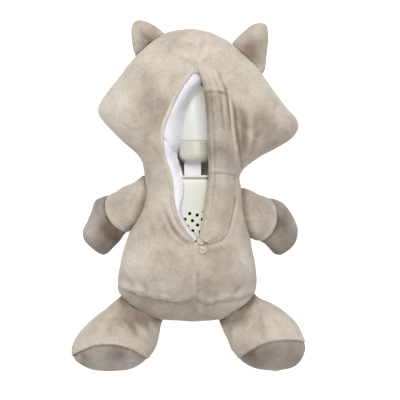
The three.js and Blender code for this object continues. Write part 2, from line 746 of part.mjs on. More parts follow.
const cupCorner = cupCornerShare * cupLength;
const cupOutline = (radius, bottom, corner) => {
  const points = [[0, bottom]];
  for (let step = 0; step <= cupSteps; step++) {
    const turn = quarterTurn * step / cupSteps;
    points.push([radius - corner + corner * Math.sin(turn), bottom + corner - corner * Math.cos(turn)]);
  }
  return points;
};
const cupInnerCorner = cupCorner - lampWall;
const ledgeY = cupLength - boardDepth;
const cupBody = solid(turned([
  ...cupOutline(lampRadius, 0, cupCorner),
  [lampRadius, cupLength],
  [lampRadius - lampWall, cupLength],
  [lampRadius - lampWall, ledgeY],
  [lampRadius - lampWall - boardLedge, ledgeY],
  ...cupOutline(lampRadius - lampWall - boardLedge, lampWall, cupInnerCorner).reverse(),
], lampSides));
const slotWidth = strapWidth + 2 * fit;
const slotHeight = strapThickness + 2 * cableRadius + 3 * fit;
const slotCentre = strapThickness / 2 - slotHeight / 2 + fit;
const strapSlot = solid(new THREE.BoxGeometry(slotWidth, 2 * strapGrip, slotHeight),
  at(strapX - lampX, 0, slotCentre));
add(lampUnit, 'lamp_base', cupBody.subtract(strapSlot), finish(0xd4d2c6, 0.35));

const discOf = (radius, length, from) => solid(
  new THREE.CylinderGeometry(radius, radius, length, discSides), at(0, from + length / 2, 0));
add(lampUnit, 'lamp_board', discOf(lampRadius - lampWall - fit, boardThickness, ledgeY + fit),
  finish(0x2f6b4a, 0.6));
const ledFoot = ledgeY + 2 * fit + boardThickness;
const ledProfile = [[0, ledFoot], [ledRadius, ledFoot], [ledRadius, ledFoot + ledHeight / 2]];
for (let step = 1; step <= ledSteps; step++) {
  const turn = quarterTurn * step / ledSteps;
  const width = step === ledSteps ? 0 : ledRadius * Math.cos(turn);
  ledProfile.push([width, ledFoot + ledHeight / 2 + ledHeight / 2 * Math.sin(turn)]);
}
add(lampUnit, 'lamp_led', turned(ledProfile, ledSides), finish(0xf2f0dc, 0.2));

// Sound unit case: a pillow of a box, hollowed, with its parting line below the middle
const caseBlock = (inset) => {
  const width = caseWidth - 2 * inset;
  const length = caseLength - capLength - fit - 2 * inset;
  const corner = caseCorner - inset;
  const edge = caseEdge - inset;
  const halfWidth = width / 2 - edge;
  const halfLength = length / 2 - edge;
  const radius = Math.max(corner - edge, corner * innerCornerShare);
  const plan = new THREE.Shape();
  plan.moveTo(-halfWidth + radius, -halfLength);
  plan.lineTo(halfWidth - radius, -halfLength);
  plan.absarc(halfWidth - radius, -halfLength + radius, radius, -quarterTurn, 0);
  plan.lineTo(halfWidth, halfLength - radius);
  plan.absarc(halfWidth - radius, halfLength - radius, radius, 0, quarterTurn);
  plan.lineTo(-halfWidth + radius, halfLength);
  plan.absarc(-halfWidth + radius, halfLength - radius, radius, quarterTurn, Math.PI);
  plan.lineTo(-halfWidth, -halfLength + radius);
  plan.absarc(-halfWidth + radius, -halfLength + radius, radius, Math.PI, 3 * quarterTurn);
  const depth = caseDepth - 2 * inset - 2 * edge;
  const block = new THREE.ExtrudeGeometry(plan, {
    depth, curveSegments: cornerSteps, bevelSize: edge, bevelThickness: edge,
    bevelSegments: edgeSteps });
  return solid(block, at(0, caseBottomY + inset + length / 2, -depth / 2));
};
const box = (width, length, depth, x, y, z) =>
  solid(new THREE.BoxGeometry(width, length, depth), at(x, y, z));
const caseSkin = caseBlock(0);
const caseShell = caseSkin.subtract(caseBlock(caseWall));
const frontFace = -caseHalfDepth;
const innerFront = frontFace + caseWall;
const innerBack = caseHalfDepth - caseWall;
const shellTopY = caseTopY - capLength - fit;
const innerTopY = shellTopY - caseWall;
const innerBottomY = caseBottomY + caseWall;

// Speaker grille, twelve holes in rows turned across the case
const grilleShares = [
  [-1.48, -0.55], [-1.48, 0.55], [-0.5, -1.1], [-0.5, 0], [-0.5, 1.1],
  [0.5, -1.1], [0.5, 0], [0.5, 1.1], [1.48, -0.55], [1.48, 0.55], [0, -2.1], [0, 2.1],
];
const grilleDrill = new THREE.CylinderGeometry(grilleHole, grilleHole, caseWall * 3, postSides)
  .rotateX(quarterTurn);
const grilleTools = grilleShares.map(([u, v]) => {
  const x = grillePitch * (u * Math.cos(grilleTurn) - v * Math.sin(grilleTurn));
  const y = grillePitch * (u * Math.sin(grilleTurn) + v * Math.cos(grilleTurn));
  return solid(grilleDrill, at(grilleX - caseX + x, grilleY + y, caseHalfDepth - caseWall / 2));
});

// Openings of the case
const caseSlot = box(slotWidth, 3 * strapGrip, slotHeight, strapX - caseX, caseTopY, slotCentre);
const doorRun = batteryLength + doorMargin;
const doorCentreY = caseBottomY + caseEdge + doorRun / 2;
const doorTool = (gap) => box(doorWidth + 2 * gap, doorRun + 2 * gap, 2 * caseWall + gap, 0,
  doorCentreY, frontFace + gap / 2);
const buttonPlaces = [
  ['play_button', playRadius, caseTopY - playShare * caseLength],
  ['volume_up_button', volumeRadius, caseTopY - volumeUpShare * caseLength],
  ['volume_down_button', volumeRadius, caseTopY - volumeDownShare * caseLength],
];
const sideTube = (radius, length, x, y) => {
  const tube = new THREE.CylinderGeometry(radius, radius, length, plateSides).rotateZ(quarterTurn);
  return solid(tube, at(x, y, buttonZ));
};
const leftSide = -caseWidth / 2;
const rightSide = caseWidth / 2;
const switchY = caseTopY - switchShare * caseLength;
const switchSlot = box(4 * caseWall, switchTravel + switchKnob + 2 * fit, switchHeight + 2 * fit,
  rightSide, switchY, buttonZ);

// Posts that carry the board, and the boss for the door's screw
const boardTop = partingZ + boardRise;
const boardY = innerTopY - fit - boardLength / 2;
const post = (side) => {
  const height = innerBack + caseWall / 2 - boardTop - fit;
  const stem = new THREE.CylinderGeometry(postRadius, postRadius, height, postSides)
    .rotateX(quarterTurn);
  return solid(stem, at(side * boardWidth * boardPostShare, boardY, boardTop + fit + height / 2));
};
const screwY = innerTopY - screwHead;
const bossHeight = -innerFront - partingDrop - fit;
const bossBody = solid(new THREE.CylinderGeometry(postRadius, postRadius, bossHeight, postSides)
  .rotateX(quarterTurn), at(0, screwY, innerFront + fit + bossHeight / 2));
const screwBore = solid(new THREE.CylinderGeometry(screwRadius + fit, screwRadius + fit,
  screwLength + fit, postSides).rotateX(quarterTurn),
at(0, screwY, frontFace + (screwLength + fit) / 2));

const abovePlane = beyond(new THREE.Vector3(0, 0, partingZ), new THREE.Vector3(0, 0, 1), fit / 2);
const belowPlane = beyond(new THREE.Vector3(0, 0, partingZ), new THREE.Vector3(0, 0, -1), fit / 2);
let caseBack = caseShell.intersect(abovePlane).add(post(-1)).add(post(1)).subtract(caseSlot);
for (const tool of grilleTools) caseBack = caseBack.subtract(tool);
for (const [, radius, y] of buttonPlaces) {
  caseBack = caseBack.subtract(sideTube(radius + fit, 4 * caseWall, leftSide, y));
}
caseBack = caseBack.subtract(switchSlot);
add(soundUnit, 'case_back', caseBack, whiteShell());
const bossRib = box(2 * screwRadius, 2 * screwHead, bossHeight, 0, innerTopY - screwHead / 2 + fit,
  innerFront + fit + bossHeight / 2);
const caseFront = caseShell.intersect(belowPlane).add(bossBody).add(bossRib)
  .subtract(doorTool(fit)).subtract(screwBore);
add(soundUnit, 'case_front', caseFront, whiteShell());

// End cap with the strap's slot, a little proud of the case all round
const capOutline = new THREE.Shape();
const capHalfWidth = caseWidth / 2 - caseEdge / 2 + capRim;
const capHalfDepth = caseHalfDepth - caseEdge / 2 + capRim;
const capCorner = caseCorner - caseEdge / 2;
capOutline.moveTo(-capHalfWidth + capCorner, -capHalfDepth);
capOutline.absarc(capHalfWidth - capCorner, -capHalfDepth + capCorner, capCorner, -quarterTurn, 0);
capOutline.absarc(capHalfWidth - capCorner, capHalfDepth - capCorner, capCorner, 0, quarterTurn);
capOutline.absarc(-capHalfWidth + capCorner, capHalfDepth - capCorner, capCorner,
  quarterTurn, Math.PI);
capOutline.absarc(-capHalfWidth + capCorner, -capHalfDepth + capCorner, capCorner,
  Math.PI, 3 * quarterTurn);
const capBlock = new THREE.ExtrudeGeometry(capOutline, {
  depth: capLength - capRim, curveSegments: capCornerSteps, bevelSize: capRim / 2,
  bevelThickness: capRim / 2, bevelSegments: edgeSteps }).rotateX(quarterTurn);
add(soundUnit, 'case_cap', solid(capBlock, at(0, caseTopY - capRim / 2, 0)).subtract(caseSlot),
  whiteShell());

// Battery door cut from the case wall, with its screw
const screwSeat = solid(new THREE.CylinderGeometry(screwHead + fit, screwHead + fit,
  screwHeadDepth + fit, plateSides).rotateX(quarterTurn),
at(0, screwY, frontFace + screwHeadDepth / 2));
const batteryDoor = caseShell.intersect(doorTool(0)).subtract(screwSeat).subtract(screwBore);
add(soundUnit, 'battery_door', batteryDoor, whiteShell());
const screw = (length) => {
  const shaft = new THREE.CylinderGeometry(screwRadius, screwRadius, length, postSides);
  const head = new THREE.CylinderGeometry(screwHead, screwHead, screwHeadDepth - fit, plateSides);
  return solid(shaft.rotateX(quarterTurn), at(0, 0, length / 2))
    .add(solid(head.rotateX(quarterTurn), at(0, 0, (screwHeadDepth - fit) / 2)));
};
add(soundUnit, 'door_screw', screw(screwLength - 2 * fit)
  .translate([0, screwY, frontFace + fit]), steel());

// Speaker: gasket, basket with its magnet, and cone
const facing = (profile, segments, x, y) => {
  const body = new THREE.LatheGeometry(
    profile.map(([radius, height]) => new THREE.Vector2(radius, height)), segments);
  return solid(body.rotateX(quarterTurn), at(x, y, 0));
};
const speakerX = grilleX - caseX;
const gasketTop = innerBack - fit;
const basketTop = gasketTop - gasketThickness - fit;
const basketBottom = basketTop - speakerDepth;
add(soundUnit, 'speaker_gasket', facing([
  [speakerRadius - 2 * gasketThickness, gasketTop],
  [speakerRadius - 2 * gasketThickness, gasketTop - gasketThickness],
  [speakerRadius, gasketTop - gasketThickness],
  [speakerRadius, gasketTop],
  [speakerRadius - 2 * gasketThickness, gasketTop],
], speakerSides, speakerX, grilleY), finish(0x2a2a2a, 0.95));
add(soundUnit, 'speaker_basket', facing([
  [0, basketBottom - magnetDepth],
  [magnetRadius, basketBottom - magnetDepth],
  [magnetRadius, basketBottom],
  [speakerRadius, basketTop - 2 * contactThickness],
  [speakerRadius, basketTop],
  [speakerRadius - 2 * contactThickness, basketTop],
  [magnetRadius, basketBottom + 2 * contactThickness],
  [0, basketBottom + 2 * contactThickness],
], speakerSides, speakerX, grilleY), steel());
const coneFoot = basketBottom + 2 * contactThickness + fit;
add(soundUnit, 'speaker_cone', facing([
  [0, coneFoot + fit],
  [magnetRadius / 2, coneFoot + fit],
  [speakerRadius - 4 * contactThickness, basketTop - contactThickness],
  [speakerRadius - 4 * contactThickness, basketTop],
  [magnetRadius / 2, coneFoot + fit + contactThickness],
  [0, coneFoot + fit + contactThickness],
], speakerSides, speakerX, grilleY), finish(0x1d1d1f, 0.8));

// Board, batteries and their contacts
add(soundUnit, 'main_board', box(boardWidth, boardLength, boardThickness, 0, boardY,
  boardTop - boardThickness / 2), finish(0x2f6b4a, 0.6));
const batteryZ = innerFront + fit + batteryRadius;
const batteryTopY = innerBottomY + 3 * contactThickness + fit + batteryLength;
const battery = (side) => {
  const nubTop = batteryLength + nubLength;
  const body = turned([[0, 0], [batteryRadius, 0], [batteryRadius, batteryLength],
    [nubRadius, batteryLength], [nubRadius, nubTop], [0, nubTop]], batterySides);
  if (side > 0) body.rotateZ(Math.PI);
  const foot = batteryTopY - batteryLength - (side > 0 ? -batteryLength : 0);
  return solid(body, at(side * (batteryRadius + fit), foot, batteryZ));
};
add(soundUnit, 'battery_left', battery(-1), finish(0x7c8a94, 0.45, 0.2));
add(soundUnit, 'battery_right', battery(1), finish(0x7c8a94, 0.45, 0.2));
const contact = (width, x, y) => box(width, contactThickness, batteryRadius * contactShare, x,
  y, batteryZ);
const minusContactY = batteryTopY + fit + contactThickness / 2;
const bottomContactY = innerBottomY + fit + contactThickness / 2;
add(soundUnit, 'contact_plus', contact(contactWidth, -batteryRadius - fit,
  minusContactY + nubLength), steel());
add(soundUnit, 'contact_minus', contact(contactWidth, batteryRadius + fit, minusContactY), steel());
add(soundUnit, 'contact_bridge', contact(2 * batteryRadius + contactWidth, 0, bottomContactY),
  steel());

// Push buttons on the left side, each with a flange inside the wall
for (const [name, radius, y] of buttonPlaces) {
  const reach = caseWall + buttonProud + fit;
  const plug = sideTube(radius, reach, leftSide - buttonProud + reach / 2, y);
  const flange = sideTube(radius + buttonFlange, buttonFlange,
    leftSide + caseWall + fit + buttonFlange / 2, y);
  add(soundUnit, name, plug.add(flange), finish(0x8fa3ad, 0.6));
}

// Slide switch on the right side, shown at its off end
const knobY = switchY + switchTravel / 2;
const knobReach = caseWall + buttonProud + fit;
const knob = box(knobReach, switchKnob, switchHeight, rightSide + buttonProud - knobReach / 2,
  knobY, buttonZ);
const slider = box(buttonFlange, switchKnob + switchTravel, switchHeight + 2 * buttonFlange,
  rightSide - caseWall - fit - buttonFlange / 2, knobY, buttonZ);
add(soundUnit, 'power_switch', knob.add(slider), finish(0x55585c, 0.6));

// Strap between the units, and the cable that runs under it
const strapLength = strapSpan + 2 * strapGrip;
const strapMiddleY = caseTopY + strapSpan / 2;
add(toy, 'link_strap', box(strapWidth, strapLength, strapThickness,
  strapX, strapMiddleY, unitAxisZ), finish(0xececf0, 0.8));
const cableZ = unitAxisZ - strapThickness / 2 - fit - cableRadius;
const cableFrom = new THREE.Vector3(strapX, caseTopY - capLength - strapGrip, cableZ);
const cableTo = new THREE.Vector3(strapX, lampBottomY + strapGrip, cableZ);
const cableRound = new THREE.Shape().absarc(0, 0, cableRadius, 0, fullTurn);
add(toy, 'link_cable', solid(new THREE.ExtrudeGeometry(cableRound, {
  steps: cableSteps, curveSegments: cableSides, bevelEnabled: false,
  extrudePath: new THREE.LineCurve3(cableFrom, cableTo) })), finish(0x3a3a3c, 0.6));

// The toy's origin is on the ground under the middle of its outline
toy.updateMatrixWorld(true);
const extent = new THREE.Box3().setFromObject(toy, true);
const middle = extent.getCenter(new THREE.Vector3());
const stand = new THREE.Group();
toy.position.set(-middle.x, -middle.y, 0);
stand.add(toy);
stand.updateMatrixWorld(true);

export default stand;
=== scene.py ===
import itertools
import math

import bmesh
import bpy
import numpy as np
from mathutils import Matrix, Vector
from mathutils.bvhtree import BVHTree


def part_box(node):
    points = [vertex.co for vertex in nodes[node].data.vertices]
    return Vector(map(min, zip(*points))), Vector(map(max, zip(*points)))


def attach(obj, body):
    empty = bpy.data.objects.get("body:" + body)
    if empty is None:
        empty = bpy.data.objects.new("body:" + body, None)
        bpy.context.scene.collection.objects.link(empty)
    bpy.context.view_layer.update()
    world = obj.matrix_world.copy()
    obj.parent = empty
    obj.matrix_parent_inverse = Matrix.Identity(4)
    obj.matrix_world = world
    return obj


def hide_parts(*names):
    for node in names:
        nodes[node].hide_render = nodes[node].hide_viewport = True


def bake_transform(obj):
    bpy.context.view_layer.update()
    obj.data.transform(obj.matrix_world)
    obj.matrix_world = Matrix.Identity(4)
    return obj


# Plush sleep soother, lying face down with its back pocket open.
# The sizes below are millimetres in the toy's own frame: X to the right seen from the back,
# Y to the ears, Z up, from the middle of the neck. Blender's lengths are metres.

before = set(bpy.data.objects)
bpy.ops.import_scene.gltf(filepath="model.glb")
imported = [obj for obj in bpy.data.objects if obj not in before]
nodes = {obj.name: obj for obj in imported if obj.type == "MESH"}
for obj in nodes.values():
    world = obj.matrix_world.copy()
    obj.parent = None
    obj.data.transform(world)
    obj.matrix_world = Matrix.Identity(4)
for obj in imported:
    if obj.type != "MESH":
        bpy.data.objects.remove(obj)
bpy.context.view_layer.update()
MM = 0.001

# The strap's middle is known in both frames, and gives the step from one to the other
STRAP_MIDDLE = (-1.2, 2.5)
strap_low, strap_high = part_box("link_strap")
STEP = np.array([(strap_low[0] + strap_high[0]) / 2 / MM - STRAP_MIDDLE[0],
                 (strap_low[1] + strap_high[1]) / 2 / MM - STRAP_MIDDLE[1], 0.0])

HEAD_SIZE = (181.0, 136.0, 91.0)
TORSO_SIZE = (125.0, 147.6, 82.0)
ARM_SIZE = (70.0, 74.0, 58.0)
LEG_SIZE = (86.0, 74.0, 57.0)
EAR_SIZE = (50.0, 40.0, 53.0)
PRESSED_FLAT = 0.5
FULLNESS = 2.3

# Stations of each stuffed form, as shares of its reach, length and height:
# left edge x and y, right edge x and y, back, front. Ears, arms and legs have their back
# and front in a table that both sides share
HEAD = [
    (-0.01, 0.946, -0.01, 0.946, 0.52, 0.52), (-0.121, 0.929, 0.094, 0.92, 0.68, 0.36),
    (-0.2, 0.876, 0.189, 0.854, 0.81, 0.27), (-0.272, 0.797, 0.254, 0.774, 0.9, 0.21),
    (-0.333, 0.715, 0.318, 0.688, 0.96, 0.16), (-0.383, 0.615, 0.363, 0.596, 0.99, 0.14),
    (-0.433, 0.526, 0.413, 0.503, 1, 0.13), (-0.472, 0.443, 0.462, 0.424, 1, 0.13),
    (-0.477, 0.387, 0.507, 0.364, 1, 0.13), (-0.45, 0.328, 0.522, 0.301, 0.99, 0.13),
    (-0.398, 0.258, 0.49, 0.232, 0.98, 0.14), (-0.338, 0.185, 0.408, 0.159, 0.965, 0.15),
    (-0.282, 0.119, 0.329, 0.1, 0.935, 0.18), (-0.257, 0.068, 0.273, 0.052, 0.91, 0.19),
    (-0.246, 0.022, 0.239, 0.011, 0.9, 0.19), (-0.242, -0.037, 0.226, -0.044, 0.9, 0.18),
    (-0.24, -0.103, 0.224, -0.11, 0.9, 0.18), (0, -0.162, 0, -0.162, 0.56, 0.5),
]
TORSO = [
    (0, 0.22, 0, 0.22, 0.6, 0.5), (-0.386, 0.136, 0.37, 0.115, 1.02, 0.2),
    (-0.371, 0.065, 0.348, 0.034, 1.01, 0.19), (-0.36, 0.014, 0.333, -0.024, 1, 0.16),
    (-0.354, -0.041, 0.336, -0.061, 1, 0.1), (-0.353, -0.11, 0.347, -0.116, 1, 0.05),
    (-0.382, -0.213, 0.364, -0.213, 1.01, 0.01),
    (-0.432, -0.305, 0.389, -0.305, 1.01, 0), (-0.479, -0.396, 0.41, -0.402, 1.01, 0),
    (-0.508, -0.476, 0.428, -0.488, 1, 0), (-0.533, -0.561, 0.45, -0.573, 0.98, 0),
    (-0.551, -0.646, 0.457, -0.652, 0.93, 0), (-0.544, -0.72, 0.443, -0.726, 0.85, 0.04),
    (-0.504, -0.777, 0.41, -0.78, 0.77, 0.11), (-0.42, -0.838, 0.333, -0.846, 0.67, 0.21),
    (-0.27, -0.893, 0.22, -0.898, 0.57, 0.33), (-0.014, -0.918, -0.014, -0.918, 0.46, 0.46),
]
LEFT_EAR = [
    (0.063, 0.725, 0.063, 0.725), (-0.027, 0.664, 0.216, 0.675), (-0.068, 0.495, 0.396, 0.551),
    (-0.063, 0.293, 0.558, 0.383), (-0.036, 0.068, 0.738, 0.158), (0.054, -0.18, 0.846, -0.09),
    (0.414, -0.225, 0.414, -0.225),
]
RIGHT_EAR = [
    (-0.063, 1.069, -0.063, 1.069), (-0.234, 0.995, 0.036, 1.001), (-0.378, 0.855, 0.068, 0.855),
    (-0.531, 0.675, 0.072, 0.608), (-0.684, 0.45, 0.054, 0.315), (-0.774, 0.225, -0.02, -0.08),
    (-0.45, -0.06, -0.45, -0.06),
]
EAR_RISES = [
    (0, 0), (0.07, -0.07), (0.11, -0.11), (0.13, -0.13), (0.14, -0.14), (0.13, -0.13), (0, 0),
]
LEFT_ARM = [
    (0.167, -0.328, 0.167, -0.328), (0.09, -0.061, 0.064, -0.559), (-0.013, 0.018, -0.077, -0.657),
    (-0.141, -0.073, -0.18, -0.675), (-0.296, -0.14, -0.238, -0.693),
    (-0.431, -0.219, -0.276, -0.73), (-0.559, -0.249, -0.315, -0.784),
    (-0.649, -0.292, -0.373, -0.839), (-0.701, -0.414, -0.437, -0.894),
    (-0.759, -0.547, -0.489, -0.943), (-0.813, -0.669, -0.546, -0.966),
    (-0.797, -0.772, -0.624, -0.934), (-0.72, -0.857, -0.72, -0.857),
]
RIGHT_ARM = [
    (-0.167, -0.292, -0.167, -0.292), (-0.09, -0.547, -0.116, -0.061),
    (0.045, -0.62, 0.006, -0.03), (0.129, -0.645, 0.161, -0.085), (0.206, -0.663, 0.296, -0.134),
    (0.27, -0.693, 0.411, -0.152), (0.321, -0.736, 0.521, -0.201), (0.366, -0.784, 0.604, -0.292),
    (0.418, -0.831, 0.672, -0.401), (0.482, -0.844, 0.715, -0.511), (0.553, -0.815, 0.711, -0.62),
    (0.604, -0.778, 0.679, -0.699), (0.643, -0.742, 0.643, -0.742),
]
ARM_RISES = [
    (0.7, 0.7), (0.93, 0.48), (1, 0.38), (0.98, 0.33), (0.92, 0.26), (0.83, 0.17), (0.76, 0.09),
    (0.71, 0.02), (0.67, 0), (0.65, 0), (0.6, 0), (0.5, 0.09), (0.29, 0.29),
]
LEFT_LEG = [
    (0, 0.012, 0, 0.012), (-0.22, 0, 0.167, -0.134), (-0.345, -0.097, 0.147, -0.292),
    (-0.481, -0.225, 0.094, -0.438), (-0.628, -0.359, 0.073, -0.572),
    (-0.748, -0.493, 0.042, -0.699), (-0.832, -0.639, -0.016, -0.809),
    (-0.859, -0.765, -0.095, -0.893), (-0.815, -0.883, -0.21, -0.968),
    (-0.69, -0.973, -0.37, -1.002), (-0.534, -1.008, -0.534, -1.008),
]
RIGHT_LEG = [
    (0, 0.012, 0, 0.012), (-0.178, -0.122, 0.199, 0.012), (-0.136, -0.28, 0.324, -0.091),
    (-0.078, -0.401, 0.471, -0.17), (-0.047, -0.505, 0.617, -0.28),
    (-0.016, -0.602, 0.733, -0.414), (0.026, -0.705, 0.795, -0.559), (0.082, -0.797, 0.813, -0.69),
    (0.15, -0.88, 0.79, -0.815), (0.285, -0.965, 0.706, -0.942), (0.513, -1.003, 0.513, -1.003),
]
LEG_RISES = [
    (0.39, 0.39), (0.67, 0.14), (0.75, 0.09), (0.82, 0.05), (0.89, 0.02), (0.96, 0), (1, 0),
    (0.96, 0), (0.84, 0), (0.67, 0.04), (0.35, 0.35),
]
SHOULDER = {"left": (-0.353, -0.024), "right": (0.353, -0.085)}
HIP = {"left": (-0.302, -0.72), "right": (0.245, -0.72)}
EAR_ROOT = {"left": (-0.293, 0.794), "right": (0.348, 0.675)}
LIMB_KINDS = {"arm": ("paw", ARM_RISES, SHOULDER, ARM_SIZE),
              "leg": ("sole", LEG_RISES, HIP, LEG_SIZE)}

# The pocket: its size in plan, its top, the heights of its floor and of its liner's rim,
# and its outline as shares of its width and length from its top
POCKET_WIDTH = 54.0
POCKET_LENGTH = 152.0
POCKET_TOP = 87.3
POCKET_FLOOR = 44.6
LINER_TOP = 72.0
POCKET_PLAN = [
    (0, 0.015), (-0.17, -0.015), (-0.31, -0.07), (-0.42, -0.14), (-0.51, -0.21),
    (-0.58, -0.29), (-0.61, -0.37), (-0.6, -0.45), (-0.55, -0.53), (-0.45, -0.6),
    (-0.37, -0.68), (-0.34, -0.76), (-0.34, -0.93), (-0.27, -0.995), (0.3, -0.995),
    (0.37, -0.93), (0.36, -0.3), (0.35, -0.19), (0.29, -0.09), (0.16, -0.01),
]
# Edges seen round the mouth, from its top to its foot: the loop tape's two long edges,
# the flap's free edge and the line where the flap is sewn down
TAPE_SEWN = [
    (1.2, 90.2), (-9.0, 76.1), (-16.0, 63.5), (-21.3, 51), (-25.3, 41.2), (-26.8, 32),
    (-26.6, 21.1), (-24.4, 10.8), (-20.2, -0.3), (-18.3, -12.3), (-17.2, -26.1),
    (-13.8, -39.3), (-9.0, -49), (1.4, -61.7),
]
TAPE_LOOSE = [
    (3.4, 90.2), (6.2, 81.7), (0, 72.0), (-6.6, 59.2), (-8.8, 48.3), (-10.2, 36.3),
    (-12.2, 25.4), (-15.6, 16.6), (-13.4, 6.2), (-10.3, -3.8), (-9.6, -20.3), (-11.6, -36.3),
    (-6.4, -47.7), (3.0, -59.9),
]
FLAP_FREE = [
    (2.9, 91.2), (6.8, 82), (9, 69.3), (10.8, 51.3), (11.9, 28.8), (12.9, 10.8), (12.9, 0),
    (12, -10.8), (10.2, -22.5), (8.7, -36), (6.8, -48.6), (3.9, -59.4),
]
FLAP_SEWN = [
    (24.2, 91.6), (27.4, 81.0), (31.4, 69.3), (32.8, 54.9), (34.0, 36.9), (35.0, 19.8),
    (34.9, 0), (36, -11.7), (36.3, -24.3), (33.8, -37.8), (28.8, -56.5), (14.4, -64.6),
]
MOUTH_TOP = 88.6
TAPE_DROP = [0.05, 0.25, 0.6, 0.9, 1, 1, 1, 1, 1, 1, 1, 0.8, 0.3]
UNIT_TOP = 78.4
UNIT_FLANK = UNIT_TOP - 9

# Room of the units above the tub in plan: the case's left, low, right and high edge,
# and the dome's middle, start, half width and length, both from below the liner's rim
CASE_ROOM = (-17.2, -63, 18.4, 24)
DOME_ROOM = (0.8, 24, 17.6, 57)
UNIT_ROOM_FLOOR = LINER_TOP - 8
CASE_ROOM_TOP = 77.2
DOME_ROOM_TOP = UNIT_TOP + 1.0

# How far the mouth reaches in under the lip, past the tape's sewn edge, and under the flap
MOUTH_UNDER_LIP = 1.8
MOUTH_UNDER_FLAP = 8.5

# Seams and folds of the plush in plan: points, depth, width and height of the ridge beside it,
# which is on the left of the line's run where the height is positive
# The folds' valleys also get painted shade in the pile, and their ridges painted light
HEAD_FOLDS = [
    ([(9.0, 128.7), (8.6, 118.8), (5.4, 108.0), (2.2, 95.4)], 0.7, 1.6, 0.0),
    ([(-8.1, 116.1), (-2.7, 112.0), (3.6, 110.7), (9.9, 113.4)], 0.8, 2.4, 0.5),
    ([(-14, 101.5), (-5.4, 97), (1.8, 93.5)], 1.2, 2.4, 0.7),
    ([(-3, 104), (0.5, 98), (2.2, 93.5)], 0.9, 1.6, 0.0),
    ([(16, 103), (10, 98), (5, 93.5)], 0.9, 2.0, -0.5),
    ([(33.3, 67.5), (36, 55.8), (37.8, 37.8), (40.5, 19.8), (42.8, 4)], 2.3, 1.3, -1.3),
    ([(39.6, 60), (44.1, 48.6), (45.2, 36), (44.4, 21.6), (43.4, 9)], 2.0, 2.8, 1.2),
    ([(55, 45), (55.8, 33.3), (53.1, 21.6), (48, 10)], 1.1, 2.4, 0.6),
    ([(-38, 24), (-33, 14), (-30, 5)], 0.9, 2.6, 0.5),
    ([(-66, 45.5), (-60.3, 38.9), (-54.9, 36), (-48, 36.5)], 0.55, 2.4, 0.35),
    ([(-83, 60), (-81.5, 52), (-77, 47)], 0.6, 2.2, 0.3),
    ([(-40, 34), (-42.4, 28.6), (-42.1, 22)], 0.5, 2.2, 0.3),
    ([(76, 62), (71.5, 54), (72.5, 45)], 0.6, 2.2, 0.3),
]
TORSO_FOLDS = [
    ([(-27.9, -30.6), (-23.4, -41.4), (-18.9, -50.4), (-13.5, -57.6), (-6.3, -63),
      (-1.5, -64.5)], 2.0, 1.7, 1.0),
    ([(-33.3, -36), (-27.9, -48.6), (-23.4, -57.6), (-17.1, -64), (-6, -66.5)], 1.3, 2.6, 0.5),
    ([(3.1, -88), (3.3, -98), (3.1, -114.3)], 0.4, 1.3, -0.9),
    ([(10.8, -70.2), (18, -72), (27, -68)], 1.2, 3.0, 0.5),
    ([(36.2, -1), (36.8, -16), (36.6, -26), (34.2, -38.7), (30.2, -52), (23.4, -63)], 0.9, 1.3,
     0.5),
    ([(-62, -92), (-56, -103), (-54, -110)], 1.2, 2.2, 0.6),
    ([(-46, -97), (-43, -106), (-42, -113)], 1.1, 2.0, 0.6),
    ([(-33, -99), (-31, -108), (-31, -115)], 0.8, 1.8, 0.5),
    ([(21, -108), (20, -114), (20, -119)], 0.9, 1.8, -0.5),
    ([(46, -99), (38, -107), (33, -114)], 0.8, 2.0, 0.5),
]
LIMB_FOLDS = {
    "left_sole": [([(-61.5, -158), (-62, -163), (-66, -169)], 0.45, 1.9, 0.4),
                  ([(-101.8, -161), (-100.5, -166), (-97, -171)], 0.35, 1.9, 0.3)],
    "right_sole": [([(52, -155), (55, -161), (55, -168)], 0.4, 1.9, 0.3)],
    "left_leg": [([(-60, -134), (-54, -142), (-49, -150)], 1.4, 2.2, 0.6),
                 ([(-48.6, -129), (-43, -137), (-40, -145)], 1.2, 2.0, 0.5)],
    "right_leg": [([(40, -123.5), (47, -121), (52.5, -115.5)], 1.8, 1.8, 0.9),
                  ([(35, -136), (31, -146), (32, -156)], 1.2, 2.4, 0.5),
                  ([(58, -128), (62, -138), (63, -148)], 0.8, 2.4, 0.4)],
}
EAR_FOLD = [(-50.5, 123.5), (-46, 120.6), (-40.5, 117), (-37, 113.5)]

# Rows of stitches in plan
NECK_ROW_LEFT = [(-42.5, 8.1), (-36, 9.3), (-28.5, 10.7)]
NECK_ROW_RIGHT = [(13.6, -1.2), (22, -1.4), (33, -2.4), (41.6, -4.2)]
CENTRE_ROW = [(3.1, -90), (3.4, -101.7), (3.1, -113.5)]
OUTER_ROW = [
    (36, -4.5), (36.4, -16), (36.2, -26), (33.8, -38.7), (29.8, -52), (23.4, -62.5),
    (16.2, -63.6), (9.5, -62),
]

# ---------------------------------------------------------------- shapes

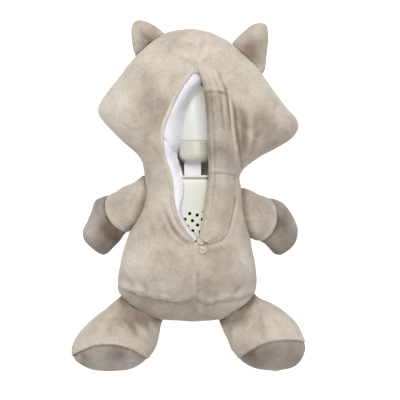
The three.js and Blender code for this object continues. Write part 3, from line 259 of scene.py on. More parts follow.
def smooth_line(points, shares):
    """Points on a smooth line through the given points, at shares of its length in steps."""
    points = np.asarray(points, float)
    last = len(points) - 1
    place = np.asarray(shares, float) * last
    index = np.clip(np.floor(place).astype(int), 0, last - 1)
    weight = (place - index)[:, None]
    padded = np.vstack([2 * points[0] - points[1], points, 2 * points[-1] - points[-2]])
    p0, p1, p2, p3 = (padded[index + k] for k in range(4))

    def gap(a, b):
        return np.power(((a - b) ** 2).sum(axis=1), 0.25)[:, None]

    d0, d1, d2 = gap(p0, p1), gap(p1, p2), gap(p2, p3)
    d1 = np.where(d1 < 1e-4, 1.0, d1)
    d0 = np.where(d0 < 1e-4, d1, d0)
    d2 = np.where(d2 < 1e-4, d1, d2)
    t1 = ((p1 - p0) / d0 - (p2 - p0) / (d0 + d1) + (p2 - p1) / d1) * d1
    t2 = ((p2 - p1) / d1 - (p3 - p1) / (d1 + d2) + (p3 - p2) / d2) * d1
    c2 = -3 * p1 + 3 * p2 - 2 * t1 - t2
    c3 = 2 * p1 - 2 * p2 + t1 + t2
    return p1 + t1 * weight + c2 * weight ** 2 + c3 * weight ** 3


def tube_faces(rings, sides):
    """Faces of a closed tube: a start point, rings of points and an end point."""
    faces = []
    last = rings * sides + 1
    for side in range(sides):
        after = (side + 1) % sides
        faces.append((0, 1 + after, 1 + side))
        end = 1 + (rings - 1) * sides
        faces.append((end + side, end + after, last))
    for ring in range(rings - 1):
        here = 1 + ring * sides
        for side in range(sides):
            after = (side + 1) % sides
            faces.append((here + side, here + after, here + sides + after, here + sides + side))
    return faces


def stuffed_form(table, place, size, rings=90, sides=96, grow=0.0):
    """Points and faces of a stuffed form that swells between its left and right edges."""
    reach, length, height = size
    rows = np.array(table, float)
    left = np.column_stack([place[0] + rows[:, 0] * reach, place[1] + rows[:, 1] * length])
    right = np.column_stack([place[0] + rows[:, 2] * reach, place[1] + rows[:, 3] * length])
    rises = np.column_stack([rows[:, 4] * height, rows[:, 5] * height - PRESSED_FLAT])
    shares = np.arange(rings + 1) / rings
    a, b, rise = smooth_line(left, shares), smooth_line(right, shares), smooth_line(rises, shares)
    level = place[2] + rise.mean(axis=1)
    middle = (a + b) / 2
    across = b - middle
    width = np.linalg.norm(across, axis=1, keepdims=True)
    across = across / np.maximum(width, 1e-6) * (width + grow)
    swell = (rise[:, 0] - rise[:, 1]) / 2 + grow
    turn = np.arange(sides) * 2 * math.pi / sides
    power = 2 / FULLNESS
    aside = np.sign(np.cos(turn)) * np.abs(np.cos(turn)) ** power
    up = np.sign(np.sin(turn)) * np.abs(np.sin(turn)) ** power
    inner = slice(1, rings)
    xy = middle[inner, None, :] + across[inner, None, :] * aside[None, :, None]
    z = level[inner, None] + swell[inner, None] * up[None, :]
    body = np.concatenate([xy, z[:, :, None]], axis=2).reshape(-1, 3)

    def pole(end, beside):
        outward = a[end] - middle[beside]
        outward = outward / max(np.linalg.norm(outward), 1e-6) * grow
        return np.array([[a[end, 0] + outward[0], a[end, 1] + outward[1], level[end]]])

    points = np.vstack([pole(0, 1), body, pole(rings, rings - 1)])
    return points, tube_faces(rings - 1, sides)


def mesh_object(name, points, faces):
    """A mesh object from points in the toy's frame, in millimetres."""
    mesh = bpy.data.meshes.new(name)
    mesh.from_pydata(((np.asarray(points) + STEP) * MM).tolist(), [], faces)
    mesh.update()
    obj = bpy.data.objects.new(name, mesh)
    bpy.context.scene.collection.objects.link(obj)
    return obj


def read_vertices(obj, layer):
    flat = np.empty(len(obj.data.vertices) * 3)
    obj.data.vertices.foreach_get(layer, flat)
    return flat.reshape(-1, 3)


def points_of(obj):
    return read_vertices(obj, "co") / MM - STEP


def normals_of(obj):
    return read_vertices(obj, "normal")


def set_points(obj, points):
    obj.data.vertices.foreach_set("co", ((points + STEP) * MM).ravel())
    obj.data.update()


def shade_smooth(obj):
    obj.data.polygons.foreach_set("use_smooth", np.ones(len(obj.data.polygons), bool))


def apply_modifiers(obj):
    """Makes the object's modifiers part of its mesh."""
    depsgraph = bpy.context.evaluated_depsgraph_get()
    mesh = bpy.data.meshes.new_from_object(obj.evaluated_get(depsgraph))
    old = obj.data
    obj.modifiers.clear()
    obj.data = mesh
    mesh.name = obj.name
    bpy.data.meshes.remove(old)


def edit_mesh(obj, change):
    """Makes a change to the object's mesh, given as a function of its bmesh."""
    work = bmesh.new()
    work.from_mesh(obj.data)
    change(work)
    work.to_mesh(obj.data)
    work.free()


def remove(obj):
    mesh = obj.data
    bpy.data.objects.remove(obj)
    bpy.data.meshes.remove(mesh)


def carve(obj, tools, operation="DIFFERENCE"):
    for tool in tools:
        cut = obj.modifiers.new("cut", "BOOLEAN")
        cut.operation = operation
        cut.object = tool
        cut.solver = "MANIFOLD"
        apply_modifiers(obj)


def soften(obj, voxel, rounds):
    """Even small faces all over, with every cut edge rounded as cloth is over its stuffing."""
    remesh = obj.modifiers.new("even", "REMESH")
    remesh.mode = "VOXEL"
    remesh.voxel_size = voxel * MM
    smooth = obj.modifiers.new("round", "SMOOTH")
    smooth.factor = 0.5
    smooth.iterations = rounds
    apply_modifiers(obj)
    shade_smooth(obj)


def sewn_form(name, form, cuts, keeps=(), voxel=1.0, rounds=4):
    """A stuffed form cut by tools and kept inside others, with its points and normals."""
    obj = mesh_object(name, *form)
    carve(obj, cuts)
    carve(obj, keeps, "INTERSECT")
    soften(obj, voxel, rounds)
    return obj, points_of(obj), normals_of(obj)


def rectangle(left, low, right, high):
    return [(left, low), (right, low), (right, high), (left, high)]


def prism(name, plan, bottom, top):
    """A solid with a flat plan, given counter-clockwise, between two heights."""
    count = len(plan)
    points = [(x, y, bottom) for x, y in plan] + [(x, y, top) for x, y in plan]
    faces = [tuple(range(count))[::-1], tuple(range(count, 2 * count))]
    for side in range(count):
        after = (side + 1) % count
        faces.append((side, after, count + after, count + side))
    return mesh_object(name, points, faces)


def plane_axes(direction):
    normal = np.array(direction, float)
    aside = np.cross((0, 0, 1), normal)
    aside = aside / np.linalg.norm(aside)
    return normal, aside, np.cross(normal, aside)


def bent(aside, bend, wave):
    """How far a bent and waved sheet stands off its plane, at distances to the side."""
    places, heights = np.array(wave, float).T
    return bend * aside ** 2 + np.interp(aside, places, heights)


FLAT = [(-1, 0), (1, 0)]


def far_block(name, gap, point, direction, bend=0.0, wave=FLAT):
    """A block that fills the space beyond a plane, or beyond a bent and waved sheet."""
    reach, depth, half_height = 90.0, 300.0, 200
    normal, aside, upward = plane_axes(direction)
    steps = np.linspace(-reach, reach, 91)
    profile = [*zip(steps, gap + bent(steps, bend, wave)), (reach, depth), (-reach, depth)]
    obj = prism(name, profile, -half_height, half_height)
    local = points_of(obj)
    placed = np.array(point) + local[:, :1] * aside + local[:, 1:2] * normal \
        - local[:, 2:] * upward
    set_points(obj, placed)
    return obj


# How far each of two sewn pieces runs past their seam before its edge is rounded
SEAM_LAP = 0.8


def seam_blocks(name, sheet):
    """The block that ends the near piece at a seam, and the one that the far piece is kept in."""
    return (far_block(f"{name}_tool", SEAM_LAP, *sheet),
            far_block(f"{name}_keep", -SEAM_LAP, *sheet))


def slant(heading, pitch):
    return (math.cos(heading) * math.cos(pitch), math.sin(heading) * math.cos(pitch),
            math.sin(pitch))


def lattice(points, size, seed):
    """Smooth noise between -1 and 1 at each point, with lumps of about the given size."""
    place = points / size
    cell = np.floor(place)
    part = place - cell
    part = part * part * (3 - 2 * part)
    total = np.zeros(len(points))
    for corner in itertools.product((0, 1), repeat=3):
        key = np.sin((cell + corner) @ (12.9898, 78.233, 37.719) + seed * 4.1414) * 43758.5453
        weight = np.abs(1 - np.array(corner) - part).prod(axis=1)
        total += (key - np.floor(key)) * weight
    return total * 2 - 1


def noise(points, *layers):
    """Layers of smooth noise added up, each given as its size, seed and depth."""
    return sum(lattice(points, size, seed) * depth for size, seed, depth in layers)


def roughen(obj, *layers):
    """Moves the object's points along their normals by layers of noise."""
    points = points_of(obj)
    set_points(obj, points + normals_of(obj) * noise(points, *layers)[:, None])


def line_distance(points, line):
    """Distance in plan of each point from a line, left of its run positive, and its share."""
    line = np.asarray(line, float)
    best = np.full(len(points), np.inf)
    sign = np.ones(len(points))
    share = np.zeros(len(points))
    for row in range(len(line) - 1):
        start, run = line[row], line[row + 1] - line[row]
        away = points[:, :2] - start
        along = np.clip((away @ run) / (run @ run), 0, 1)
        gap = np.linalg.norm(away - along[:, None] * run, axis=1)
        closer = gap < best
        best[closer] = gap[closer]
        sign[closer] = np.sign(run[0] * away[:, 1] - run[1] * away[:, 0])[closer]
        share[closer] = ((row + along) / (len(line) - 1))[closer]
    return best * sign, share


def swell_to(value, low, high):
    """0 below low, 1 above high, and a soft step between."""
    part = np.clip((value - low) / (high - low), 0, 1)
    return part * part * (3 - 2 * part)


# Folds are pressed into the back only, above these heights of the body and of the limbs
BACK_ABOVE = 40.0
LIMB_BACK_ABOVE = 20.0


def fold_profile(points, line, width, ridge):
    """The share of a fold's depth and of its ridge's height that each point has."""
    gap, share = line_distance(points, smooth_line(line, np.linspace(0, 1, 24)))
    fade = np.sin(np.pi * np.clip(share, 0.04, 0.96)) ** 0.6
    side = 1 if ridge >= 0 else -1
    hill = np.exp(-((gap * side - 2.1 * width) / (1.3 * width)) ** 2)
    return np.exp(-(gap / width) ** 2) * fade, hill * fade


def folded(points, normals, folds, above=BACK_ABOVE):
    """Presses soft valleys along lines on the back, each with a ridge beside it."""
    for line, depth, width, ridge in folds:
        near = (np.abs(points[:, 0] - np.mean(line, axis=0)[0]) < 90) & (points[:, 2] > above)
        valley, hill = fold_profile(points[near], line, width, ridge)
        points[near] -= normals[near] * (depth * valley - abs(ridge) * hill)[:, None]
    return points


def surface_tree(points, faces):
    return BVHTree.FromPolygons([tuple(p) for p in points], faces)


# A height above all of the toy
FAR_UP = 300


def height_on(trees, x, y, default=0.0):
    """Height of the highest of some surfaces at a place in plan."""
    above = Vector((x, y, FAR_UP))
    hits = [tree.ray_cast(above, Vector((0, 0, -1)))[0] for tree in trees]
    return max((hit.z for hit in hits if hit is not None), default=default)


def tree_gap(points, tree, limit):
    """Distance of each point from a surface, no more than the limit."""
    gaps = np.full(len(points), limit)
    for index, point in enumerate(points):
        found = tree.find_nearest(Vector(point), limit)[3]
        if found is not None:
            gaps[index] = found
    return gaps


def sheet_gap(points, point, direction, bend=0.0, wave=FLAT):
    """Signed distance from a plane, or from a bent and waved sheet."""
    normal, aside, _ = plane_axes(direction)
    away = points - np.array(point)
    return away @ normal - bent(away @ aside, bend, wave)


def seamed(points, normals, gap, seed, sink=0.0, roll=0.0, *, reach, tuck, pitch):
    """Sinks the surface at a sewn seam, rolls it up beside the seam, and gathers it.
    tuck is the depth of the gathers, which run across the seam, and pitch their spacing."""
    away = np.abs(gap)
    valley = sink * np.exp(-(away / reach) ** 2)
    hill = roll * np.exp(-((away - 2.2 * reach) / (1.4 * reach)) ** 2)
    gather = lattice(points / pitch, 1.0, seed) * tuck * np.exp(-(away / (3.2 * reach)) ** 2)
    return points - normals * (valley - hill - gather)[:, None]


def lumps(points, normals, seed, amount=1.0):
    """The unevenness of the stuffing, and the short pile on top of it."""
    swell = noise(points, (34, seed, 1.1), (15, seed + 3, 0.45)) * amount
    swell += noise(points, (2.4, seed + 5, 0.1))
    return points + normals * swell[:, None]


def grounded(points):
    """The points, none of them lower than just above the floor."""
    points[:, 2] = np.maximum(points[:, 2], 0.05)
    return points


def crease_shade(points, folds):
    """How much painted shade each fold puts into the pile in its valley, and painted light on its
    ridge.
    """
    shade = np.zeros(len(points))
    for line, depth, width, ridge in folds:
        valley, hill = fold_profile(points, line, width, ridge)
        shade -= 0.22 * depth * min(1, 1.6 / width) * valley
        shade += 0.2 * abs(ridge) * hill
    return shade * (points[:, 2] > BACK_ABOVE)


def brushed_and_lit(obj, strokes=(), seed=0, folds=(), seams=()):
    """Writes how the pile lies, from 0 where it is ruffled dark to 1 where it is light. Along with
    the pile's patches it holds painted shade in fold valleys and along seams, painted light on fold
    ridges, and the painted shade and painted light in some of the strokes.
    """
    points = points_of(obj)
    lie_and_shade = 0.5 + noise(points, (24, seed, 0.13), (9, seed + 1, 0.08))
    lie_and_shade += crease_shade(points, folds)
    for x, y, reach, strength in strokes:
        gap = np.hypot(points[:, 0] - x, points[:, 1] - y)
        lie_and_shade += strength * np.exp(-(gap / reach) ** 2)
    for gap, reach, strength in seams:
        lie_and_shade += strength * np.exp(-(gap / reach) ** 2)
    layer = obj.data.attributes.new("pile_lie", "FLOAT", "POINT")
    layer.data.foreach_set("value", np.clip(lie_and_shade, 0, 1))


# ---------------------------------------------------------------- materials

def feed(tree, target, inputs):
    """Gives each named input of a node a value, or a link from an output socket."""
    for key, value in inputs.items():
        if isinstance(value, bpy.types.NodeSocket):
            tree.links.new(value, target.inputs[key])
        else:
            target.inputs[key].default_value = value


def node(tree, kind, inputs=None, **settings):
    """A new node with its settings and its inputs."""
    new = tree.nodes.new(kind)
    for key, value in settings.items():
        setattr(new, key, value)
    feed(tree, new, inputs or {})
    return new


def maths(tree, operation, *terms, **settings):
    return node(tree, "ShaderNodeMath", dict(enumerate(terms)), operation=operation,
                **settings).outputs[0]


def vector_maths(tree, operation, inputs):
    return node(tree, "ShaderNodeVectorMath", inputs, operation=operation).outputs[0]


def mixed(tree, factor, first, second, **settings):
    """The mix of two colours."""
    return node(tree, "ShaderNodeMix", {"Factor": factor, 6: first, 7: second},
                data_type="RGBA", **settings).outputs[2]


def ranged(tree, value, start=(0.0, 1.0), end=(0.0, 1.0)):
    """A value taken from one range to another."""
    return node(tree, "ShaderNodeMapRange",
                {"Value": value, "From Min": start[0], "From Max": start[1],
                 "To Min": end[0], "To Max": end[1]}).outputs["Result"]


def bumped(tree, height, strength, distance):
    return node(tree, "ShaderNodeBump", {"Height": height, "Strength": strength,
                                         "Distance": distance}).outputs["Normal"]


def object_place(tree):
    return node(tree, "ShaderNodeTexCoord").outputs["Object"]


def new_group(name, kind, inputs, outputs):
    """A node group with its sockets: its tree, what it is given, and its end node."""
    tree = bpy.data.node_groups.new(name, kind)
    for label, socket_kind, value in inputs:
        socket = tree.interface.new_socket(name=label, in_out="INPUT",
                                           socket_type=f"NodeSocket{socket_kind}")
        if value is not None:
            socket.default_value = value
    for label, socket_kind in outputs:
        tree.interface.new_socket(name=label, in_out="OUTPUT",
                                  socket_type=f"NodeSocket{socket_kind}")
    return tree, node(tree, "NodeGroupInput").outputs, node(tree, "NodeGroupOutput")


def pile_group():
    """Short pile plush: patches of nap on top of the way the pile lies, with its painted shade and
    painted light, and tufts.
    """
    tree, given, leave = new_group(
        "plush_pile", "ShaderNodeTree",
        [("Lie", "Float", 0.5), ("Ruffled And Shaded Colour", "Color", (0.4, 0.4, 0.4, 1)),
         ("Pile Colour", "Color", (0.5, 0.5, 0.5, 1)),
         ("Brushed And Lit Colour", "Color", (0.6, 0.6, 0.6, 1)),
         ("Patch Scale", "Float", 80.0), ("Patch Strength", "Float", 0.5),
         ("Tuft Scale", "Float", 900.0), ("Tuft Strength", "Float", 0.5)],
        [("Colour", "Color"), ("Height", "Float"), ("Roughness", "Float")])
    spot = object_place(tree)
    patch = node(tree, "ShaderNodeTexNoise",
                 {"Vector": spot, "Scale": given["Patch Scale"], "Detail": 2.5,
                  "Roughness": 0.45, "Distortion": 0.8}).outputs["Fac"]
    tuft = node(tree, "ShaderNodeTexNoise",
                {"Vector": spot, "Scale": given["Tuft Scale"], "Detail": 5.0,
                 "Roughness": 0.75}).outputs["Fac"]
    lie_and_shade = maths(tree, "MULTIPLY_ADD", maths(tree, "SUBTRACT", patch, 0.5),
                given["Patch Strength"], given["Lie"], use_clamp=True)
    low = mixed(tree, ranged(tree, lie_and_shade, (0.0, 0.5)), given["Ruffled And Shaded Colour"],
                given["Pile Colour"])
    colour = mixed(tree, ranged(tree, lie_and_shade, (0.5, 1.0)), low, given["Brushed And Lit Colour"])
    shade = ranged(tree, tuft, (0.3, 0.7), (0.83, 1.11))
    feed(tree, leave, {
        "Colour": mixed(tree, given["Tuft Strength"], colour, shade, blend_type="MULTIPLY"),
        "Height": maths(tree, "MULTIPLY_ADD", patch, 0.5, tuft),
        "Roughness": ranged(tree, lie_and_shade, end=(0.98, 0.84))})
    return tree


def linear(colour):
    """A colour written as on a screen, 0 to 255, as the shader takes it."""
    parts = [value / 255 for value in colour]
    return (*(part / 12.92 if part <= 0.04045 else ((part + 0.055) / 1.055) ** 2.4
              for part in parts), 1.0)


def new_material(name):
    material = bpy.data.materials.new(name)
    material.use_nodes = True
    shader = material.node_tree.nodes["Principled BSDF"]
    return material, material.node_tree, shader


def plush_material(name, pile, ruffled, colour, brushed_and_lit, patch=80.0):
    """Plush of three colours: ruffled dark, as it lies, and light. The dark and light ends also
    give the painted shade and painted light written into how the pile lies.
    """
    material, tree, shader = new_material(name)
    lie_and_shade = node(tree, "ShaderNodeAttribute", attribute_name="pile_lie").outputs["Fac"]
    made = node(tree, "ShaderNodeGroup",
                {"Lie": lie_and_shade, "Ruffled And Shaded Colour": linear(ruffled), "Pile Colour": linear(colour),
                 "Brushed And Lit Colour": linear(brushed_and_lit), "Patch Scale": patch, "Tuft Scale": 420.0,
                 "Tuft Strength": 1.0}, node_tree=pile).outputs
    feed(tree, shader, {
        "Base Color": made["Colour"], "Roughness": made["Roughness"],
        "Normal": bumped(tree, made["Height"], 0.4, 0.0005), "Specular IOR Level": 0.15,
        "Sheen Weight": 0.5, "Sheen Roughness": 0.5, "Sheen Tint": linear(brushed_and_lit)})
    return material


def noise_material(name, colour, other, scale, rough, bump_depth, **extra):
    """A finish with a fine noise in colour, roughness and height."""
    material, tree, shader = new_material(name)
    grain = node(tree, "ShaderNodeTexNoise", {"Vector": object_place(tree), "Scale": scale,
                                              "Detail": 4.0}).outputs["Fac"]
    feed(tree, shader, {
        "Base Color": mixed(tree, grain, linear(colour), linear(other)),
        "Roughness": ranged(tree, grain, end=rough),
        "Normal": bumped(tree, grain, 0.5, bump_depth),
        **{key.replace("_", " "): value for key, value in extra.items()}})
    return material


pile = pile_group()
# The darkest taupe is deep enough for the painted shade at the hips
TAUPE = plush_material("plush_taupe", pile, (141, 126, 112), (198, 187, 172), (224, 217, 206))
GREY = plush_material("plush_grey", pile, (114, 102, 93), (160, 151, 142), (192, 185, 177), 90.0)
WHITE_TAPE = noise_material("loop_tape_white", (224, 220, 230), (253, 252, 255), 800,
                            (0.85, 0.98), 0.0006, Sheen_Weight=0.3)
STRAP = noise_material("webbing_white", (244, 244, 247), (252, 252, 253), 1200, (0.7, 0.9), 0.0003)
LINER = noise_material("liner_cloth", (194, 183, 173), (208, 198, 189), 900, (0.85, 0.97), 0.0004)
CASE = noise_material("case_white", (210, 209, 198), (216, 215, 205), 60, (0.24, 0.3), 0.00005,
                      Coat_Weight=0.25)
CUP = noise_material("lamp_base_grey", (206, 202, 190), (212, 208, 197), 60, (0.14, 0.2), 0.00005,
                     Coat_Weight=0.6)
# The dome's colour is kept low, as its painted glow adds to it
DOME = noise_material("lamp_milk", (172, 173, 168), (181, 182, 177), 40, (0.34, 0.42), 0.00004,
                      Coat_Weight=0.15)
STEEL = noise_material("plated_steel", (178, 180, 184), (196, 198, 200), 300, (0.28, 0.42), 0.00004,
                       Metallic=1.0)
BLACK_FOAM = noise_material("foam_black", (28, 28, 28), (44, 44, 44), 1400, (0.9, 1.0), 0.0003)
CONE = noise_material("cone_black", (24, 24, 26), (36, 36, 38), 500, (0.6, 0.8), 0.0002)
BOARD = noise_material("board_green", (36, 92, 62), (44, 106, 72), 220, (0.4, 0.55), 0.00008)
LED = noise_material("lamp_clear", (238, 234, 208), (244, 241, 222), 90, (0.1, 0.16), 0.00003)
CELL = noise_material("cell_sleeve", (118, 132, 142), (130, 144, 153), 120, (0.34, 0.45), 0.00004)
BUTTON = noise_material("button_blue", (136, 158, 170), (146, 168, 179), 260, (0.5, 0.62), 0.00008)
SWITCH = noise_material("switch_grey", (82, 85, 88), (94, 97, 100), 260, (0.5, 0.62), 0.00008)
CABLE = noise_material("cable_dark", (46, 46, 49), (58, 58, 61), 300, (0.5, 0.6), 0.00006)
THREAD = noise_material("face_thread", (70, 60, 54), (92, 80, 73), 900, (0.6, 0.8), 0.0003)
LOOSE_THREAD = noise_material("loose_thread", (206, 194, 178), (222, 212, 197), 1200,
                              (0.75, 0.9), 0.0002)
SEAM_THREAD = noise_material("seam_thread", (160, 143, 124), (140, 123, 105), 1200, (0.75, 0.9),
                             0.0002)


def joint_group():
    """A thin dark line round a moulding where two halves of it meet."""
    tree, given, leave = new_group(
        "joint_line", "ShaderNodeTree",
        [("Colour", "Color", (0.8, 0.8, 0.8, 1)), ("Line Colour", "Color", (0.2, 0.2, 0.2, 1)),
         ("Joint Y", "Float", 0.0), ("Half Width", "Float", 0.0005)], [("Colour", "Color")])
    place = node(tree, "ShaderNodeSeparateXYZ", {0: object_place(tree)}).outputs["Y"]
    away = maths(tree, "ABSOLUTE", maths(tree, "SUBTRACT", place, given["Joint Y"]))
    mask = node(tree, "ShaderNodeMapRange", {"Value": away, "From Max": given["Half Width"]},
                interpolation_type="SMOOTHSTEP").outputs["Result"]
    feed(tree, leave, {"Colour": mixed(tree, mask, given["Line Colour"], given["Colour"])})
    return tree


def joined_at(material, group, joint, half_width, line):
    """Puts the joint line into a finish, before its shader's colour."""
    tree = material.node_tree
    shader = tree.nodes["Principled BSDF"]
    source = shader.inputs["Base Color"].links[0].from_socket
    seam = node(tree, "ShaderNodeGroup",
                {"Colour": source, "Line Colour": linear(line), "Joint Y": joint,
                 "Half Width": half_width}, node_tree=group).outputs
    feed(tree, shader, {"Base Color": seam["Colour"]})


# Painted light: the milky dome glows faintly, though its lamp is not lit, which evens out the shade
# on it
feed(DOME.node_tree, DOME.node_tree.nodes["Principled BSDF"],
     {"Emission Color": linear((246, 246, 241)), "Emission Strength": 0.3})

# Where dome and cup meet, with a thin dark line
JOINT_Y = 28.0
JOINT_HALF_WIDTH = 0.75
joint_tree = joint_group()
for material in (DOME, CUP):
    joined_at(material, joint_tree, (JOINT_Y + STEP[1]) * MM, JOINT_HALF_WIDTH * MM,
              (70, 58, 48))


def paint(obj, material):
    obj.data.materials.clear()
    obj.data.materials.append(material)


def finish_with(obj, material):
    paint(obj, material)


# ---------------------------------------------------------------- stuffed pieces

def on_form(share, size, z=0.0):
    """A place given as shares of a form's reach and length from the neck."""
    return (share[0] * size[0], share[1] * size[1], z)


# Where the fabric of each moving part starts to bend, beside its seam, and where it has bent
BENDS = {
    "left_arm": ((-38.2, -4.3, 40.0), (-48.9, -1.9, 40.0)),
    "right_arm": ((38.2, -13.3, 40.0), (53.0, -11.3, 40.0)),
    "left_leg": ((-41.5, -113.4, 30.0), (-54.4, -138.2, 30.0)),
    "right_leg": ((34.5, -113.3, 30.0), (48.2, -137.7, 30.0)),
    "flap": ((37.0, 0.0, 80.0), (4.0, 0.0, 80.0)),
}


def carry(obj, body):
    """A moving part's fabric keeps its place, its transform baked into its mesh; any other piece
    rides on its body.
    """
    if body in BENDS:
        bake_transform(obj)
    else:
        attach(obj, body)


def place_as(obj, material, cad_node, body, rides=False):
    """Gives a piece its finish and its place in the assembly. A limb's end only rides on it."""
    finish_with(obj, material)
    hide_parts(cad_node)
    if rides:
        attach(obj, body)
    else:
        carry(obj, body)


def dressed(obj, cad_node, body, strokes=(), seed=0, folds=(), seams=(),
            slot="plush_taupe", rides=False):
    """Gives a stuffed piece its pile, with painted shade and painted light from its folds, seams
    and strokes, and its place in the assembly.
    """
    brushed_and_lit(obj, strokes, seed, folds, seams)
    place_as(obj, TAUPE if slot == "plush_taupe" else GREY, cad_node, body, rides)


NECK = (0.0, 0.0, 0.0)
SEWN_IN = -0.6
# Fill of head, torso and limbs
HEAD_FORM = (HEAD, NECK, HEAD_SIZE, 120, 128)
TORSO_FORM = (TORSO, NECK, TORSO_SIZE, 110, 120)
head_form, torso_form = stuffed_form(*HEAD_FORM), stuffed_form(*TORSO_FORM)
head_tree, torso_tree = surface_tree(*head_form), surface_tree(*torso_form)


def back_height(x, y):
    """Height of the toy's back, on its two large forms."""
    return height_on((head_tree, torso_tree), x, y)


def beside(line, step):
    """The line moved to the right of its run by a distance in plan."""
    line = np.asarray(line, float)
    run = np.gradient(line, axis=0)
    run = run / np.linalg.norm(run, axis=1, keepdims=True)
    return line + np.column_stack([run[:, 1], -run[:, 0]]) * step


# Head and torso, drawn in a little where they cut the pieces sewn to them
head_tool = mesh_object("head_tool", *stuffed_form(*HEAD_FORM, SEWN_IN))
torso_tool = mesh_object("torso_tool", *stuffed_form(*TORSO_FORM, SEWN_IN))
ground_tool = prism("ground_tool", rectangle(-220, -260, 220, 220), -90, 0)

# The pocket's space: a wide tub below, and above it the narrow mouth and the room of the units
closed_plan = [(x * POCKET_WIDTH, POCKET_TOP + y * POCKET_LENGTH) for x, y in POCKET_PLAN]
closed_plan = smooth_line(closed_plan + closed_plan[:1], np.linspace(0, 1, 90)[:-1])
tub_tool = prism("tub_tool", closed_plan.tolist(), POCKET_FLOOR, LINER_TOP + 0.6)
mouth_left = smooth_line(beside(TAPE_SEWN, MOUTH_UNDER_LIP), np.linspace(0, 1, 90))
mouth_right = smooth_line(beside(FLAP_FREE, -MOUTH_UNDER_FLAP), np.linspace(0, 1, 90))
mouth_plan = np.vstack([mouth_left, mouth_right[::-1]])
mouth_plan = mouth_plan[mouth_plan[:, 1] < MOUTH_TOP]
mouth_tool = prism("mouth_tool", mouth_plan.tolist(), POCKET_FLOOR + 6, FAR_UP)
case_tool = prism("case_tool", rectangle(*CASE_ROOM), UNIT_ROOM_FLOOR, CASE_ROOM_TOP)
dome_x, dome_y, half_width, dome_length = DOME_ROOM
dome_plan = [(half_width * math.cos(t) + dome_x, dome_y + dome_length * math.sin(t) ** 0.9)
             for t in np.linspace(0, math.pi, 27)]
dome_tool = prism("dome_tool", dome_plan, UNIT_ROOM_FLOOR, DOME_ROOM_TOP)
pocket_tools = [tub_tool, mouth_tool, case_tool, dome_tool]

# The neck's seam is a sheet across the toy, straight down and bent in plan
NECK_SHEET = (NECK, (0.0, -1.0, 0.0), 0.0,
              [(-62, -6.5), (-43, -8), (-28, -10.8), (-12, -7), (0, -2), (13.6, 1.2),
               (33, 2.4), (41.6, 4.2), (62, 5)])
neck_tool, neck_keep = seam_blocks("neck", NECK_SHEET)

# The seat's seam is a sheet across the torso's foot, leaning and waved
SEAT_AWAY = slant(-math.pi / 2, -0.3)
SEAT_SIDE = 1 if plane_axes(SEAT_AWAY)[1][0] > 0 else -1
SEAT_WAVE = [(-66, -7.6), (-56, -6.0), (-46, -4.4), (-33, -1.2), (-22, -0.2), (-15, -0.4),
             (-5, -1.8), (1, -4.0), (5, -2.0), (8, 0.4), (15, 2.7), (22, 1.0), (36, -1.1),
             (51, -0.8), (62, 0)]
SEAT_SHEET = ((0.0, -0.795 * TORSO_SIZE[1], 0.78 * TORSO_SIZE[2]), SEAT_AWAY, 0.0,
              [(x * SEAT_SIDE, y) for x, y in SEAT_WAVE][::SEAT_SIDE])
seat_tool, seat_keep = seam_blocks("seat", SEAT_SHEET)

# Strokes on the pile: place in plan, reach, and how much lighter it lies there. Along with patches
# of nap they hold painted shade at the hips, over the seat panel and beside the seams of paws and
# soles, and painted light on lit edges and on the puckers beside the seat seam.
HEAD_STROKES = [(-72, 50, 24, 0.4), (-45, 108, 20, 0.2), (20, 110, 30, 0.1), (54, 40, 22, -0.34),
                (-38, 55, 20, -0.38), (66, 75, 24, 0.25), (-20, 112, 16, -0.1)]
TORSO_STROKES = [(3, -100, 12, 0.02), (-64, -103, 5, 0.35), (-51, -105, 4.5, 0.35),
                 (-31.5, -102, 4, 0.3), (-12, -80, 14, -0.1), (16, -104, 9, -0.15),
                 (-55, -80, 16, 0.2), (48, -75, 16, 0.2), (22, -80, 16, -0.05),
                 (-38, -28, 14, 0.15)]
SEAT_STROKES = [(-20, -122, 40, -0.15), (40, -118, 14, 0.45)]
LIMB_STROKES = {
    "left_arm": [(-58, -24, 10, -0.08)],
    "right_arm": [(60, -30, 14, -0.2)],
    "left_leg": [(-52, -126, 13, -0.8), (-66, -138, 16, -0.1), (-100, -150, 12, 0.2)],
    "right_leg": [(37, -127, 13, -0.5), (58, -138, 18, -0.1), (92, -150, 12, 0.2)],
    "left_paw": [(-78, -50, 10, -0.6), (-71, -59, 8, -0.35), (-83, -67, 6, -0.25),
                 (-91, -42, 10, 0.25), (-96, -55, 9, 0.3), (-85, -26, 8, -0.15)],
    "right_paw": [(78, -46, 9, -0.45), (84, -62, 8, -0.3), (95, -46, 8, 0.25)],
    "left_sole": [(-100, -166, 5, -0.3), (-66, -164, 6, -0.25), (-72, -162, 7, -0.3),
                  (-91, -162, 4, 0.15), (-104, -168, 4, 0.5), (-85, -177, 9, 0.5),
                  (-55, -173, 8, 0.35), (-67, -178, 7, 0.3)],
    "right_sole": [(50, -162, 6, -0.4), (60, -157, 8, -0.1), (82, -169, 8, 0.25),
                   (71, -176, 8, 0.3), (95, -160, 6, 0.3)],
}
NECK_SEAM = {"sink": 0.1, "reach": 1.4, "tuck": 0.3, "pitch": 4}

head, points, normals = sewn_form("plush_head", head_form,
                                  [ground_tool, neck_tool, *pocket_tools])
gap = sheet_gap(points, *NECK_SHEET)
points = seamed(points, normals, gap, 11, **NECK_SEAM)
points = folded(points, normals, HEAD_FOLDS)
set_points(head, grounded(lumps(points, normals, 1)))
# Painted shade along the neck seam
dressed(head, "head", "stuffed_body", HEAD_STROKES, 1, HEAD_FOLDS, [(gap, 1.0, -0.05)])

